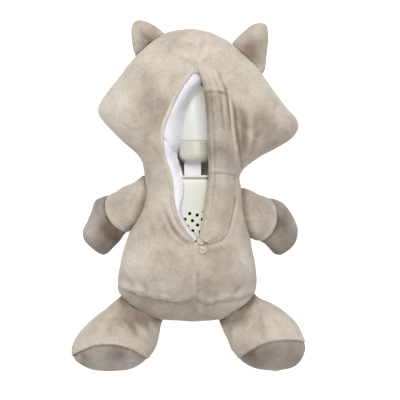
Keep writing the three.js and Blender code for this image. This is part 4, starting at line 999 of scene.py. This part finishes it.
torso, points, normals = sewn_form("plush_torso", torso_form,
                                   [ground_tool, seat_tool, *pocket_tools], [neck_keep])
gap = sheet_gap(points, *NECK_SHEET)
points = seamed(points, normals, gap, 12, **NECK_SEAM)
seat_gap = sheet_gap(points, *SEAT_SHEET)
back = swell_to(points[:, 2], 28, 58)
points = seamed(points, normals, seat_gap, 13, 0.2 * back, 0.5 * back, reach=2.2,
                tuck=1.3 * back, pitch=8)
points = folded(points, normals, TORSO_FOLDS)
set_points(torso, grounded(lumps(points, normals, 2)))
# Painted shade along the neck and seat seams, and painted light on the roll above the seat seam
dressed(torso, "torso", "stuffed_body", TORSO_STROKES, 5, TORSO_FOLDS,
        [(gap, 1.0, -0.05), (seat_gap + 0.4, 1.0, -0.05), (seat_gap + 5, 3.5, 0.12)])

seat, points, normals = sewn_form("plush_seat", torso_form, [ground_tool], [seat_keep])
gap = sheet_gap(points, *SEAT_SHEET)
points = seamed(points, normals, gap, 14, 0.9, reach=4.6, tuck=0.8, pitch=7)
set_points(seat, grounded(lumps(points, normals, 3)))
# Painted shade along the seat seam
dressed(seat, "seat_panel", "stuffed_body", SEAT_STROKES, 9, (), [(gap, 2.5, -0.1)])

# Ears, leaning down to their roots behind the rim of the head
EAR_LEAN = 7.0
for side, table, tip, root, shaded, folds, seed in (
        ("left", LEFT_EAR, (-48, 132), (-42, 112), (-39, 117), [(EAR_FOLD, 1.5, 2.4, 0.8)], 20),
        ("right", RIGHT_EAR, (55, 128), (46, 98), (49, 107), [], 21)):
    place = on_form(EAR_ROOT[side], HEAD_SIZE, EAR_SIZE[2])
    points, faces = stuffed_form(np.hstack([table, EAR_RISES]), place, EAR_SIZE, 40, 48)
    run = np.subtract(root, tip, dtype=float)
    lean = (points[:, :2] - tip) @ run / (run @ run)
    points[:, 2] -= EAR_LEAN * np.clip(lean, 0, 1.4) ** 1.3
    ear, points, normals = sewn_form(f"plush_{side}_ear", (points, faces), [head_tool],
                                     voxel=0.9)
    points = folded(points, normals, folds)
    set_points(ear, lumps(points, normals, seed, 0.6))
    # Painted shade at the ear's root, under the head's rim
    dressed(ear, f"{side}_ear", "stuffed_body", [(*shaded, 12, -0.5)], 3)


def limb(side, kind, table, seam, seed):
    """An arm or a leg with its darker paw or sole, parted at a bent seam."""
    end, rises, root, size = LIMB_KINDS[kind]
    place = on_form(root[side], TORSO_SIZE)
    form = stuffed_form(np.hstack([table, rises]), place, size, 80, 90)
    cut, keep = seam_blocks("limb", seam)
    for name in (kind, end):
        near = name == kind
        piece = f"{side}_{name}"
        cuts, keeps = ([cut], []) if near else ([], [keep])
        obj, points, normals = sewn_form(f"plush_{piece}", form,
                                         [torso_tool, head_tool, ground_tool, *cuts], keeps,
                                         0.95, 3)
        gap = sheet_gap(points, *seam)
        if near:
            points = seamed(points, normals, gap, seed, 0.0, 0.4, reach=1.2, tuck=0.3, pitch=3.5)
            # Painted light on the cuff's ridge and painted shade in its seam
            seams = [(gap + 1.4, 1.2, 0.1), (gap, 0.7, -0.3)]
            gap = tree_gap(points, torso_tree, 20)
            # Painted shade where the limb meets the torso
            seams.append((gap, 4.0, -0.45))
            points = seamed(points, normals, gap, seed + 1, 0.3, reach=3.0, tuck=0.8, pitch=6)
        else:
            points = seamed(points, normals, gap, seed, 0.7, reach=2.4, tuck=0.3, pitch=4)
            # Painted shade along the end's seam
            seams = [(gap, 1.8, -0.5)]
        folds = LIMB_FOLDS.get(piece, ())
        points = folded(points, normals, folds, LIMB_BACK_ABOVE)
        set_points(obj, grounded(lumps(points, normals, seed + 2, 0.8)))
        dressed(obj, piece, f"{side}_{kind}", LIMB_STROKES[piece], seed, folds, seams,
                "plush_taupe" if near else "plush_grey", rides=not near)
    remove(cut)
    remove(keep)


# Each limb's seam: a point on it, the way across it, and its bend
limb("left", "arm", LEFT_ARM, ((-76.9, -40.8, 40.4), slant(-2.6, -0.5), -0.0155), 30)
limb("right", "arm", RIGHT_ARM, ((73.7, -43.7, 41.6), slant(-0.17, -0.5), -0.0143), 34)
limb("left", "leg", LEFT_LEG, ((-75.2, -154.8, 55.0), slant(-1.62, 0.1), 0.0095), 38)
limb("right", "leg", RIGHT_LEG, ((69.1, -152.4, 55.0), slant(-1.33, 0.08), 0.0075), 42)

# ---------------------------------------------------------------- mouth of the pocket

def cloth_strip(name, edge_a, edge_b, steps, across, under, thick, edge=0.35):
    """A closed cloth strip between two edges.
    under and thick give its lower height and its thickness from shares across and along."""
    along = np.linspace(0, 1, steps)
    a, b = smooth_line(edge_a, along), smooth_line(edge_b, along)
    shares = np.linspace(0, 1, across)
    top, bottom = [], []
    for row in range(steps):
        for share in shares:
            x, y = a[row] + (b[row] - a[row]) * share
            low = under(x, y, share, along[row])
            rim = min(1.0, min(share, 1 - share) / edge * 3) ** 0.5
            depth = thick(share, along[row])
            top.append((x, y, low + depth * (0.5 + 0.5 * rim)))
            bottom.append((x, y, low + depth * (0.5 - 0.5 * rim)))
    points = top + bottom
    base = len(top)
    faces = []
    for row in range(steps - 1):
        for column in range(across - 1):
            here = row * across + column
            faces.append((here, here + across, here + across + 1, here + 1))
            faces.append((base + here, base + here + 1, base + here + across + 1,
                          base + here + across))
    outline = [row * across for row in range(steps)]
    outline += [(steps - 1) * across + column for column in range(1, across)]
    outline += [row * across + across - 1 for row in range(steps - 2, -1, -1)]
    outline += range(across - 2, 0, -1)
    for here, after in zip(outline, outline[1:] + outline[:1]):
        faces.append((here, base + here, base + after, after))
    obj = mesh_object(name, points, faces)
    edit_mesh(obj, lambda work: bmesh.ops.recalc_face_normals(work, faces=work.faces))
    shade_smooth(obj)
    return obj


# Rolled lip along the left edge of the slit
lip = cloth_strip("rolled_lip", beside(TAPE_SEWN, 3.4), TAPE_SEWN, 180, 11,
                  lambda x, y, s, t: back_height(x, y) - 0.9, lambda s, t: 1.5, 0.9)
roughen(lip, (3.5, 50, 0.25))
dressed(lip, "left_lip", "stuffed_body", [(-24, 40, 40, 0.35)], 50)

# Loop tape, sewn under the lip and lying in over the units, with a twist beside the lamp's cup
unit_points, unit_faces = [], []
for name in ("lamp_dome", "lamp_base", "case_back", "case_cap", "link_strap"):
    mesh = nodes[name].data
    start = len(unit_points)
    unit_points.extend(vertex.co / MM - Vector(STEP) for vertex in mesh.vertices)
    unit_faces.extend([start + index for index in face.vertices] for face in mesh.polygons)
unit_tree = surface_tree(unit_points, unit_faces)


def unit_height(x, y):
    """Height of the moulded units under a point, no lower than their flanks."""
    return max(height_on([unit_tree], x, y, UNIT_FLANK), UNIT_FLANK)


def edge_heights(edge, steps, reach):
    """Smoothed heights of the units along a cloth edge that lies on them."""
    line = smooth_line(edge, np.linspace(0, 1, steps))
    heights = np.array([unit_height(x, y) for x, y in line])
    padded = np.pad(heights, reach, mode="edge")
    window = np.hanning(2 * reach + 3)[1:-1]
    smooth = np.convolve(padded, window / window.sum(), mode="valid")
    return np.maximum(smooth, heights - 1.0)


def along_table(table, share):
    """The value at a share of the way along a table of even steps."""
    return np.interp(share * (len(table) - 1), np.arange(len(table)), table)


TAPE_STEPS = 200
TAPE_REST = edge_heights(TAPE_LOOSE, TAPE_STEPS, 9) + 0.5
TWIST_FOLD = [(-26.0, 28.0), (-22.0, 21.5), (-16.0, 17.0)]
TWIST_RIDGE = [(-15.5, 14.5), (-12.6, 6.5), (-10.4, -2.0)]


def tape_under(x, y, share, along):
    """Height of the loop tape's underside, from its sewn edge down to where it rests."""
    sewn = back_height(x, y) - 1.9
    fall = along_table(TAPE_DROP, along) * (sewn - along_table(TAPE_REST, along))
    low = sewn - share ** 2.2 * fall - 0.6 * share
    spot = np.array([[x, y]])
    low -= 1.8 * math.exp(-(line_distance(spot, TWIST_FOLD)[0][0] / 1.8) ** 2)
    return low + 1.8 * math.exp(-(line_distance(spot, TWIST_RIDGE)[0][0] / 1.5) ** 2)


tape = cloth_strip("loop_strip", beside(TAPE_SEWN, 1.0), TAPE_LOOSE, TAPE_STEPS, 21, tape_under,
                   lambda s, t: 1.0, 0.08)
roughen(tape, (1.6, 60, 0.16))
place_as(tape, WHITE_TAPE, "loop_tape", "stuffed_body")

# Flap on the right, with the groove of its topstitching beside its free edge and a hem
# turned in at its top, and the hook tape under it
# Share of the flap's width at which it is topstitched
STITCHED_AT = 0.265


def flap_under(x, y, share, along):
    """Height of the flap's underside, which droops at its free edge."""
    lift = 2.1 - 1.8 * swell_to(share, 0.55, 1.0)
    droop = 2.8 * (1 - swell_to(share, 0, 0.3)) * swell_to(along, 0.02, 0.15)
    return back_height(x, y) + lift * swell_to(along, -0.01, 0.05) - droop - 0.15


def flap_thick(share, along):
    """The flap's thickness, with the stitched groove, the hem and the ridge beside the hem."""
    groove = 0.9 * math.exp(-((share - STITCHED_AT) / 0.05) ** 2)
    hem = np.interp(along, (0, 0.06, 0.12, 0.2, 0.32, 0.42), (0.7, 0.72, 0.75, 0.77, 0.78, 0.76))
    away = share - hem
    fall = 0.16 if away < 0 else 0.06
    ridge = 1.8 * math.exp(-(away / fall) ** 2) * (1 - swell_to(along, 0.5, 0.75))
    step = 0.6 * (1 - swell_to(along, 0.15, 0.19)) * swell_to(share, 0.2, 0.4) \
        * (1 - swell_to(share, 0.8, 0.95))
    full = 3.6 - 2.7 * swell_to(share, 0.6, 1.0) - groove + ridge + step
    full -= 1.2 * swell_to(along, 0.7, 1.0) * (1 - swell_to(share, 0.5, 1.0))
    return 0.9 + (full - 0.9) * swell_to(along, -0.015, 0.035)


def between_edges(share):
    """The line at a share of the way from the flap's free edge to its sewn one."""
    steps = np.linspace(0, 1, len(FLAP_FREE))
    free, sewn = smooth_line(FLAP_FREE, steps), smooth_line(FLAP_SEWN, steps)
    return free + (sewn - free) * share


flap = cloth_strip("plush_flap", FLAP_FREE, FLAP_SEWN, 220, 61, flap_under, flap_thick, 0.14)
points, normals = points_of(flap), normals_of(flap)
points = points + normals * noise(points, (12, 70, 0.6), (2.4, 71, 0.12))[:, None]
set_points(flap, folded(points, normals, [(NECK_ROW_RIGHT, 0.7, 1.2, 0.3)]))
# Lines of painted shade, with painted light beside them, along the flap's groove, hem, folds and
# neck seam; they shade the pile only
FLAP_LINES = [
    (between_edges(STITCHED_AT)[:-1], 0.7, 0.9, 0.0),
    (between_edges(0.05), 1.2, 1.6, 0.0),
    ([(14.4, 90), (18, 82.5), (22.8, 71.5), (24.3, 57), (26, 40), (27, 27)], 1.0, 1.5, 0.6),
    ([(21.2, 91.2), (24.6, 82), (28.8, 70.4), (30.6, 56), (32.2, 42), (33.6, 29)], 2.2, 1.0, 0.5),
    ([(20.5, 71), (25, 70), (29.5, 68.2)], 1.9, 1.3, 1.0),
    ([(9, 70.2), (15, 71.6), (20.5, 71)], 0.7, 1.5, 0.5),
    (NECK_ROW_RIGHT, 1.5, 0.8, 0.3),
]
FLAP_STROKES = [(20, 36, 40, -0.15), (24, 22, 9, -0.22), (14, 66, 9, -0.25), (15, 84, 8, 0.1),
                (24, -30, 20, -0.1)]
dressed(flap, "right_flap", "flap", FLAP_STROKES, 70, FLAP_LINES)

# Shares of the flap's width between which the hook tape is sewn
HOOK_SHARES = (0.12, 0.82)
hook = cloth_strip("hook_strip", *map(between_edges, HOOK_SHARES), 150, 13,
                   lambda x, y, s, t: flap_under(x, y, np.interp(s, (0, 1), HOOK_SHARES), t) - 1.1,
                   lambda s, t: 1.0, 0.1)
place_as(hook, WHITE_TAPE, "hook_tape", "flap")


def open_top(work):
    """Takes off the top face, which leaves the tub's rim."""
    top = max(work.faces, key=lambda face: face.calc_center_median().z)
    bmesh.ops.delete(work, geom=[top], context="FACES_ONLY")


# Pocket liner, a cloth tub against the pocket's walls
liner = prism("pocket_tub", closed_plan.tolist(), POCKET_FLOOR + 0.5, LINER_TOP)
edit_mesh(liner, open_top)
wall = liner.modifiers.new("cloth", "SOLIDIFY")
wall.thickness = 1.2 * MM
wall.offset = -1
apply_modifiers(liner)
place_as(liner, LINER, "pocket_liner", "stuffed_body")

# ---------------------------------------------------------------- face and knot

def ball(centre, size, rings=40, sides=56):
    """Points and faces of a ball drawn out to a size along each axis."""
    points = []
    for ring in range(1, rings):
        turn = math.pi * ring / rings
        for side in range(sides):
            around = 2 * math.pi * side / sides
            points.append((centre[0] + size[0] / 2 * math.sin(turn) * math.cos(around),
                           centre[1] + size[1] / 2 * math.sin(turn) * math.sin(around),
                           centre[2] + size[2] / 2 * math.cos(turn)))
    points = [(*centre[:2], centre[2] + size[2] / 2), *points,
              (*centre[:2], centre[2] - size[2] / 2)]
    faces = tube_faces(rings - 1, sides)
    return points, [face[::-1] for face in faces]


muzzle, points, normals = sewn_form("plush_muzzle", ball((2, 40, 14), (46, 36, 29)),
                                    [head_tool, ground_tool], (), 0.9, 3)
set_points(muzzle, grounded(lumps(points, normals, 80, 0.4)))
dressed(muzzle, "muzzle", "stuffed_body", (), 80)

knot_height = back_height(7, -68)
knot = mesh_object("thread_knot", *ball((7.6, -69.6, knot_height - 0.2), (7.4, 7.8, 4.0)))
tuft = mesh_object("knot_tuft", *ball((5.6, -61.8, back_height(6, -62) + 1.4), (5.4, 6.2, 2.8)))
carve(knot, [tuft], "UNION")
remove(tuft)
soften(knot, 0.45, 2)
roughen(knot, (2.2, 90, 0.9), (1.1, 91, 0.5))
# Painted light on the knot, against the shade round its tufts
dressed(knot, "slit_knot", "stuffed_body", [(7, -68, 9, 0.45)], 90)

# ---------------------------------------------------------------- threads and fibres

def thread_group():
    """A short thread at each point of a mesh, along the point's own direction."""
    tree, given, leave = new_group(
        "short_threads", "GeometryNodeTree",
        [("Geometry", "Geometry", None), ("Half Length", "Float", 0.001),
         ("Radius", "Float", 0.0002), ("Reach", "Float", 0.0), ("Scatter", "Float", 0.1),
         ("Seed", "Int", 1), ("Material", "Material", None)],
        [("Geometry", "Geometry")])
    roots = node(tree, "GeometryNodeMeshToPoints", {"Mesh": given["Geometry"]}).outputs[0]
    way = node(tree, "GeometryNodeInputNamedAttribute", {"Name": "way"},
               data_type="FLOAT_VECTOR").outputs[0]
    stray = node(tree, "FunctionNodeRandomValue",
                 {"Min": (-1, -1, -1), "Max": (1, 1, 1), "Seed": given["Seed"]},
                 data_type="FLOAT_VECTOR").outputs[0]
    lean = vector_maths(tree, "SCALE", {0: stray, "Scale": given["Scatter"]})
    run = vector_maths(tree, "ADD", {0: way, 1: lean})
    straight = vector_maths(tree, "NORMALIZE", {0: run})
    shift = vector_maths(tree, "SCALE", {0: straight, "Scale": given["Reach"]})
    moved = node(tree, "GeometryNodeSetPosition", {"Geometry": roots, "Offset": shift}).outputs[0]
    rod = node(tree, "GeometryNodeMeshUVSphere", {"Segments": 6, "Rings": 4}).outputs["Mesh"]
    turn = node(tree, "FunctionNodeAlignRotationToVector", {"Vector": straight},
                axis="Z").outputs[0]
    vary = node(tree, "FunctionNodeRandomValue", {2: 0.6, 3: 1.15, "Seed": given["Seed"]},
                data_type="FLOAT").outputs[1]
    size = node(tree, "ShaderNodeCombineXYZ",
                {"X": given["Radius"], "Y": given["Radius"],
                 "Z": maths(tree, "MULTIPLY", vary, given["Half Length"])}).outputs[0]
    rods = node(tree, "GeometryNodeInstanceOnPoints",
                {"Points": moved, "Instance": rod, "Rotation": turn, "Scale": size}).outputs[0]
    real = node(tree, "GeometryNodeRealizeInstances", {0: rods}).outputs[0]
    coloured = node(tree, "GeometryNodeSetMaterial",
                    {"Geometry": real, "Material": given["Material"]}).outputs[0]
    feed(tree, leave, {"Geometry": coloured})
    return tree


threads = thread_group()


def threaded(name, roots, ways, material, slot, body, **values):
    """A piece made of short threads at the given points, each along its own direction."""
    obj = mesh_object(name, roots, [])
    layer = obj.data.attributes.new("way", "FLOAT_VECTOR", "POINT")
    layer.data.foreach_set("vector", np.asarray(ways, float).ravel())
    modifier = obj.modifiers.new("threads", "NODES")
    modifier.node_group = threads
    values = {"Material": material, "Seed": 7, **values}
    for item in threads.interface.items_tree:
        key = item.name.replace(" ", "_")
        if item.in_out == "INPUT" and key in values:
            modifier[item.identifier] = values[key]
    apply_modifiers(obj)
    shade_smooth(obj)
    finish_with(obj, material)
    carry(obj, body)


def stitch_row(name, line, carriers, body):
    """A row of stitches along a line in plan, lying on the carriers' backs."""
    pitch, half_stitch, sink, lowest = 3.6, 0.3, 0.05, 20
    trees = [surface_tree(points_of(carrier),
                          [tuple(face.vertices) for face in carrier.data.polygons])
             for carrier in carriers]
    fine = smooth_line(line, np.linspace(0, 1, 200))
    length = np.concatenate([[0], np.cumsum(np.linalg.norm(np.diff(fine, axis=0), axis=1))])
    count = int(length[-1] // pitch)
    ends = []
    for shift in (-half_stitch, half_stitch):
        at = (np.arange(count) + 0.5 + shift) * pitch
        row = np.column_stack([np.interp(at, length, fine[:, k]) for k in (0, 1)])
        heights = [height_on(trees, x, y) - sink for x, y in row]
        ends.append(np.column_stack([row, heights]))
    held = (ends[0][:, 2] > lowest) & (ends[1][:, 2] > lowest)
    ends = [end[held] for end in ends]
    roots, ways = (ends[0] + ends[1]) / 2, ends[1] - ends[0]
    ways = ways / np.linalg.norm(ways, axis=1, keepdims=True)
    threaded(name, roots, ways, SEAM_THREAD, "plush_taupe", body,
             Half_Length=pitch * half_stitch * MM, Radius=0.32 * MM, Scatter=0.08)


stitch_row("neck_stitches_left", NECK_ROW_LEFT, [head, torso], "stuffed_body")
stitch_row("neck_stitches_flap", NECK_ROW_RIGHT[:3], [flap], "flap")
stitch_row("centre_seam_stitches", CENTRE_ROW, [torso], "stuffed_body")
stitch_row("flap_seam_stitches", OUTER_ROW, [torso, head, flap], "stuffed_body")

# Frayed loops along the loose edge of the tape, and the ruffled ends of the knot
FRAY_COUNT = 620
KNOT_FRAY_COUNT = 420
rng = np.random.default_rng(5)
fray_shares = np.linspace(0.02, 0.98, FRAY_COUNT)
tape_edge = smooth_line(TAPE_LOOSE, fray_shares)
edge_run = np.gradient(tape_edge, axis=0)
edge_run = edge_run / np.linalg.norm(edge_run, axis=1, keepdims=True)
edge_height = np.array([tape_under(x, y, 1.0, t) for (x, y), t in zip(tape_edge, fray_shares)])
roots = np.column_stack([tape_edge, edge_height + rng.uniform(0.2, 0.9, FRAY_COUNT)])
ways = np.column_stack([-edge_run[:, 1], edge_run[:, 0], np.full(FRAY_COUNT, 0.25)])
threaded("tape_fray", roots, ways, WHITE_TAPE, "tape_white", "stuffed_body",
         Half_Length=0.8 * MM, Radius=0.15 * MM, Reach=0.4 * MM, Scatter=0.8)
knot_points, knot_ways = points_of(knot), normals_of(knot)
chosen = rng.choice(len(knot_points), KNOT_FRAY_COUNT, replace=False)
chosen = chosen[knot_points[chosen][:, 2] > knot_height - 1.5]
threaded("knot_fray", knot_points[chosen], knot_ways[chosen], LOOSE_THREAD, "plush_taupe",
         "stuffed_body", Half_Length=0.6 * MM, Radius=0.14 * MM, Reach=0.3 * MM, Scatter=0.8)

# ---------------------------------------------------------------- moulded units

def smooth_facets():
    """Merges a CAD node's loose triangles and shades its shallow edges smooth."""
    tree, given, leave = new_group(
        "smooth_facets", "GeometryNodeTree",
        [("Geometry", "Geometry", None), ("Sharp Angle", "Float", 0.6)],
        [("Geometry", "Geometry")])
    merged = node(tree, "GeometryNodeMergeByDistance",
                  {"Geometry": given["Geometry"], "Distance": 2e-6}).outputs["Geometry"]
    faces = node(tree, "GeometryNodeSetShadeSmooth",
                 {"Geometry": merged, "Shade Smooth": True}).outputs["Geometry"]
    angle = node(tree, "GeometryNodeInputMeshEdgeAngle").outputs["Unsigned Angle"]
    sharp = node(tree, "FunctionNodeCompare", {"A": angle, "B": given["Sharp Angle"]},
                 data_type="FLOAT", operation="GREATER_THAN").outputs["Result"]
    edges = node(tree, "GeometryNodeSetShadeSmooth",
                 {"Geometry": faces, "Selection": sharp, "Shade Smooth": False},
                 domain="EDGE").outputs["Geometry"]
    feed(tree, leave, {"Geometry": edges})
    return tree


facets = smooth_facets()
RIGID = {
    "lamp_dome": DOME, "lamp_base": CUP, "lamp_board": BOARD, "lamp_led": LED,
    "case_back": CASE, "case_front": CASE, "case_cap": CASE, "battery_door": CASE,
    "door_screw": STEEL, "speaker_gasket": BLACK_FOAM, "speaker_basket": STEEL,
    "speaker_cone": CONE, "main_board": BOARD, "battery_left": CELL, "battery_right": CELL,
    "contact_plus": STEEL, "contact_minus": STEEL, "contact_bridge": STEEL,
    "play_button": BUTTON, "volume_up_button": BUTTON, "volume_down_button": BUTTON,
    "power_switch": SWITCH, "link_strap": STRAP, "link_cable": CABLE,
    "nose": THREAD, "left_eye": THREAD, "right_eye": THREAD,
}
for name, material in RIGID.items():
    obj = nodes[name]
    paint(obj, material)
    smooth = obj.modifiers.new("smooth_facets", "NODES")
    smooth.node_group = facets

for tool in (head_tool, torso_tool, ground_tool, neck_tool, neck_keep, seat_tool, seat_keep,
             *pocket_tools):
    remove(tool)

# ---------------------------------------------------------------- stage

# A matt floor, which glows as well where the camera or a reflection sees it
bpy.ops.mesh.primitive_plane_add(size=6)
floor = bpy.context.object
floor.name = "floor"
FLOOR_TONE = 0.86
material, tree, shader = new_material("pale_floor")
tree.nodes.remove(shader)
rays = node(tree, "ShaderNodeLightPath").outputs
seen = maths(tree, "MAXIMUM", rays["Is Camera Ray"], rays["Is Glossy Ray"])
seen = maths(tree, "MAXIMUM", seen, rays["Is Transmission Ray"])
glow = node(tree, "ShaderNodeEmission", {"Strength": FLOOR_TONE}).outputs[0]
dark = node(tree, "ShaderNodeEmission", {"Strength": 0.0}).outputs[0]
matt = node(tree, "ShaderNodeBsdfDiffuse", {"Color": (*[FLOOR_TONE] * 3, 1)}).outputs[0]
shown = node(tree, "ShaderNodeMixShader", {"Fac": seen, 1: dark, 2: glow}).outputs[0]
both = node(tree, "ShaderNodeAddShader", {0: shown, 1: matt}).outputs[0]
feed(tree, tree.nodes["Material Output"], {"Surface": both})
paint(floor, material)

# A white sky, dimmer as a light than it looks to the camera
SKY_LIGHT = 0.47
scene = bpy.context.scene
scene.view_settings.view_transform = "Standard"
world = bpy.data.worlds.new("studio")
scene.world = world
world.use_nodes = True
tree = world.node_tree
rays = node(tree, "ShaderNodeLightPath").outputs
feed(tree, tree.nodes["Background"],
     {"Color": (1, 1, 1, 1),
      "Strength": ranged(tree, rays["Is Camera Ray"], end=(SKY_LIGHT, 1.0))})


def area_light(name, place, size, power):
    """A round lamp aimed at the middle of the toy."""
    data = bpy.data.lights.new(name, "AREA")
    data.shape = "DISK"
    data.size = size
    data.energy = power
    light = bpy.data.objects.new(name, data)
    light.location = place
    aim = Vector((0, 0, 0.04)) - Vector(place)
    light.rotation_euler = aim.to_track_quat("-Z", "Y").to_euler()
    scene.collection.objects.link(light)


area_light("key", (-0.25, 0.95, 1.5), 1.2, 17)
area_light("fill", (0.3, 0.1, 1.8), 1.4, 7)

# Camera straight above the toy's back, far enough to flatten the view as in the photo
VIEW_SPAN = 360.0
VIEW_HEIGHT = 3000.0
VIEW_PLANE = 50.0
VIEW_MIDDLE = (5.4, -25.2)
SENSOR_WIDTH = 36.0
camera_data = bpy.data.cameras.new("camera")
camera_data.sensor_width = SENSOR_WIDTH
camera_data.lens = SENSOR_WIDTH * (VIEW_HEIGHT - VIEW_PLANE) / VIEW_SPAN
camera_data.clip_end = 50
camera = bpy.data.objects.new("camera", camera_data)
camera.location = (Vector((*VIEW_MIDDLE, VIEW_HEIGHT)) + Vector(STEP)) * MM
scene.collection.objects.link(camera)
scene.camera = camera
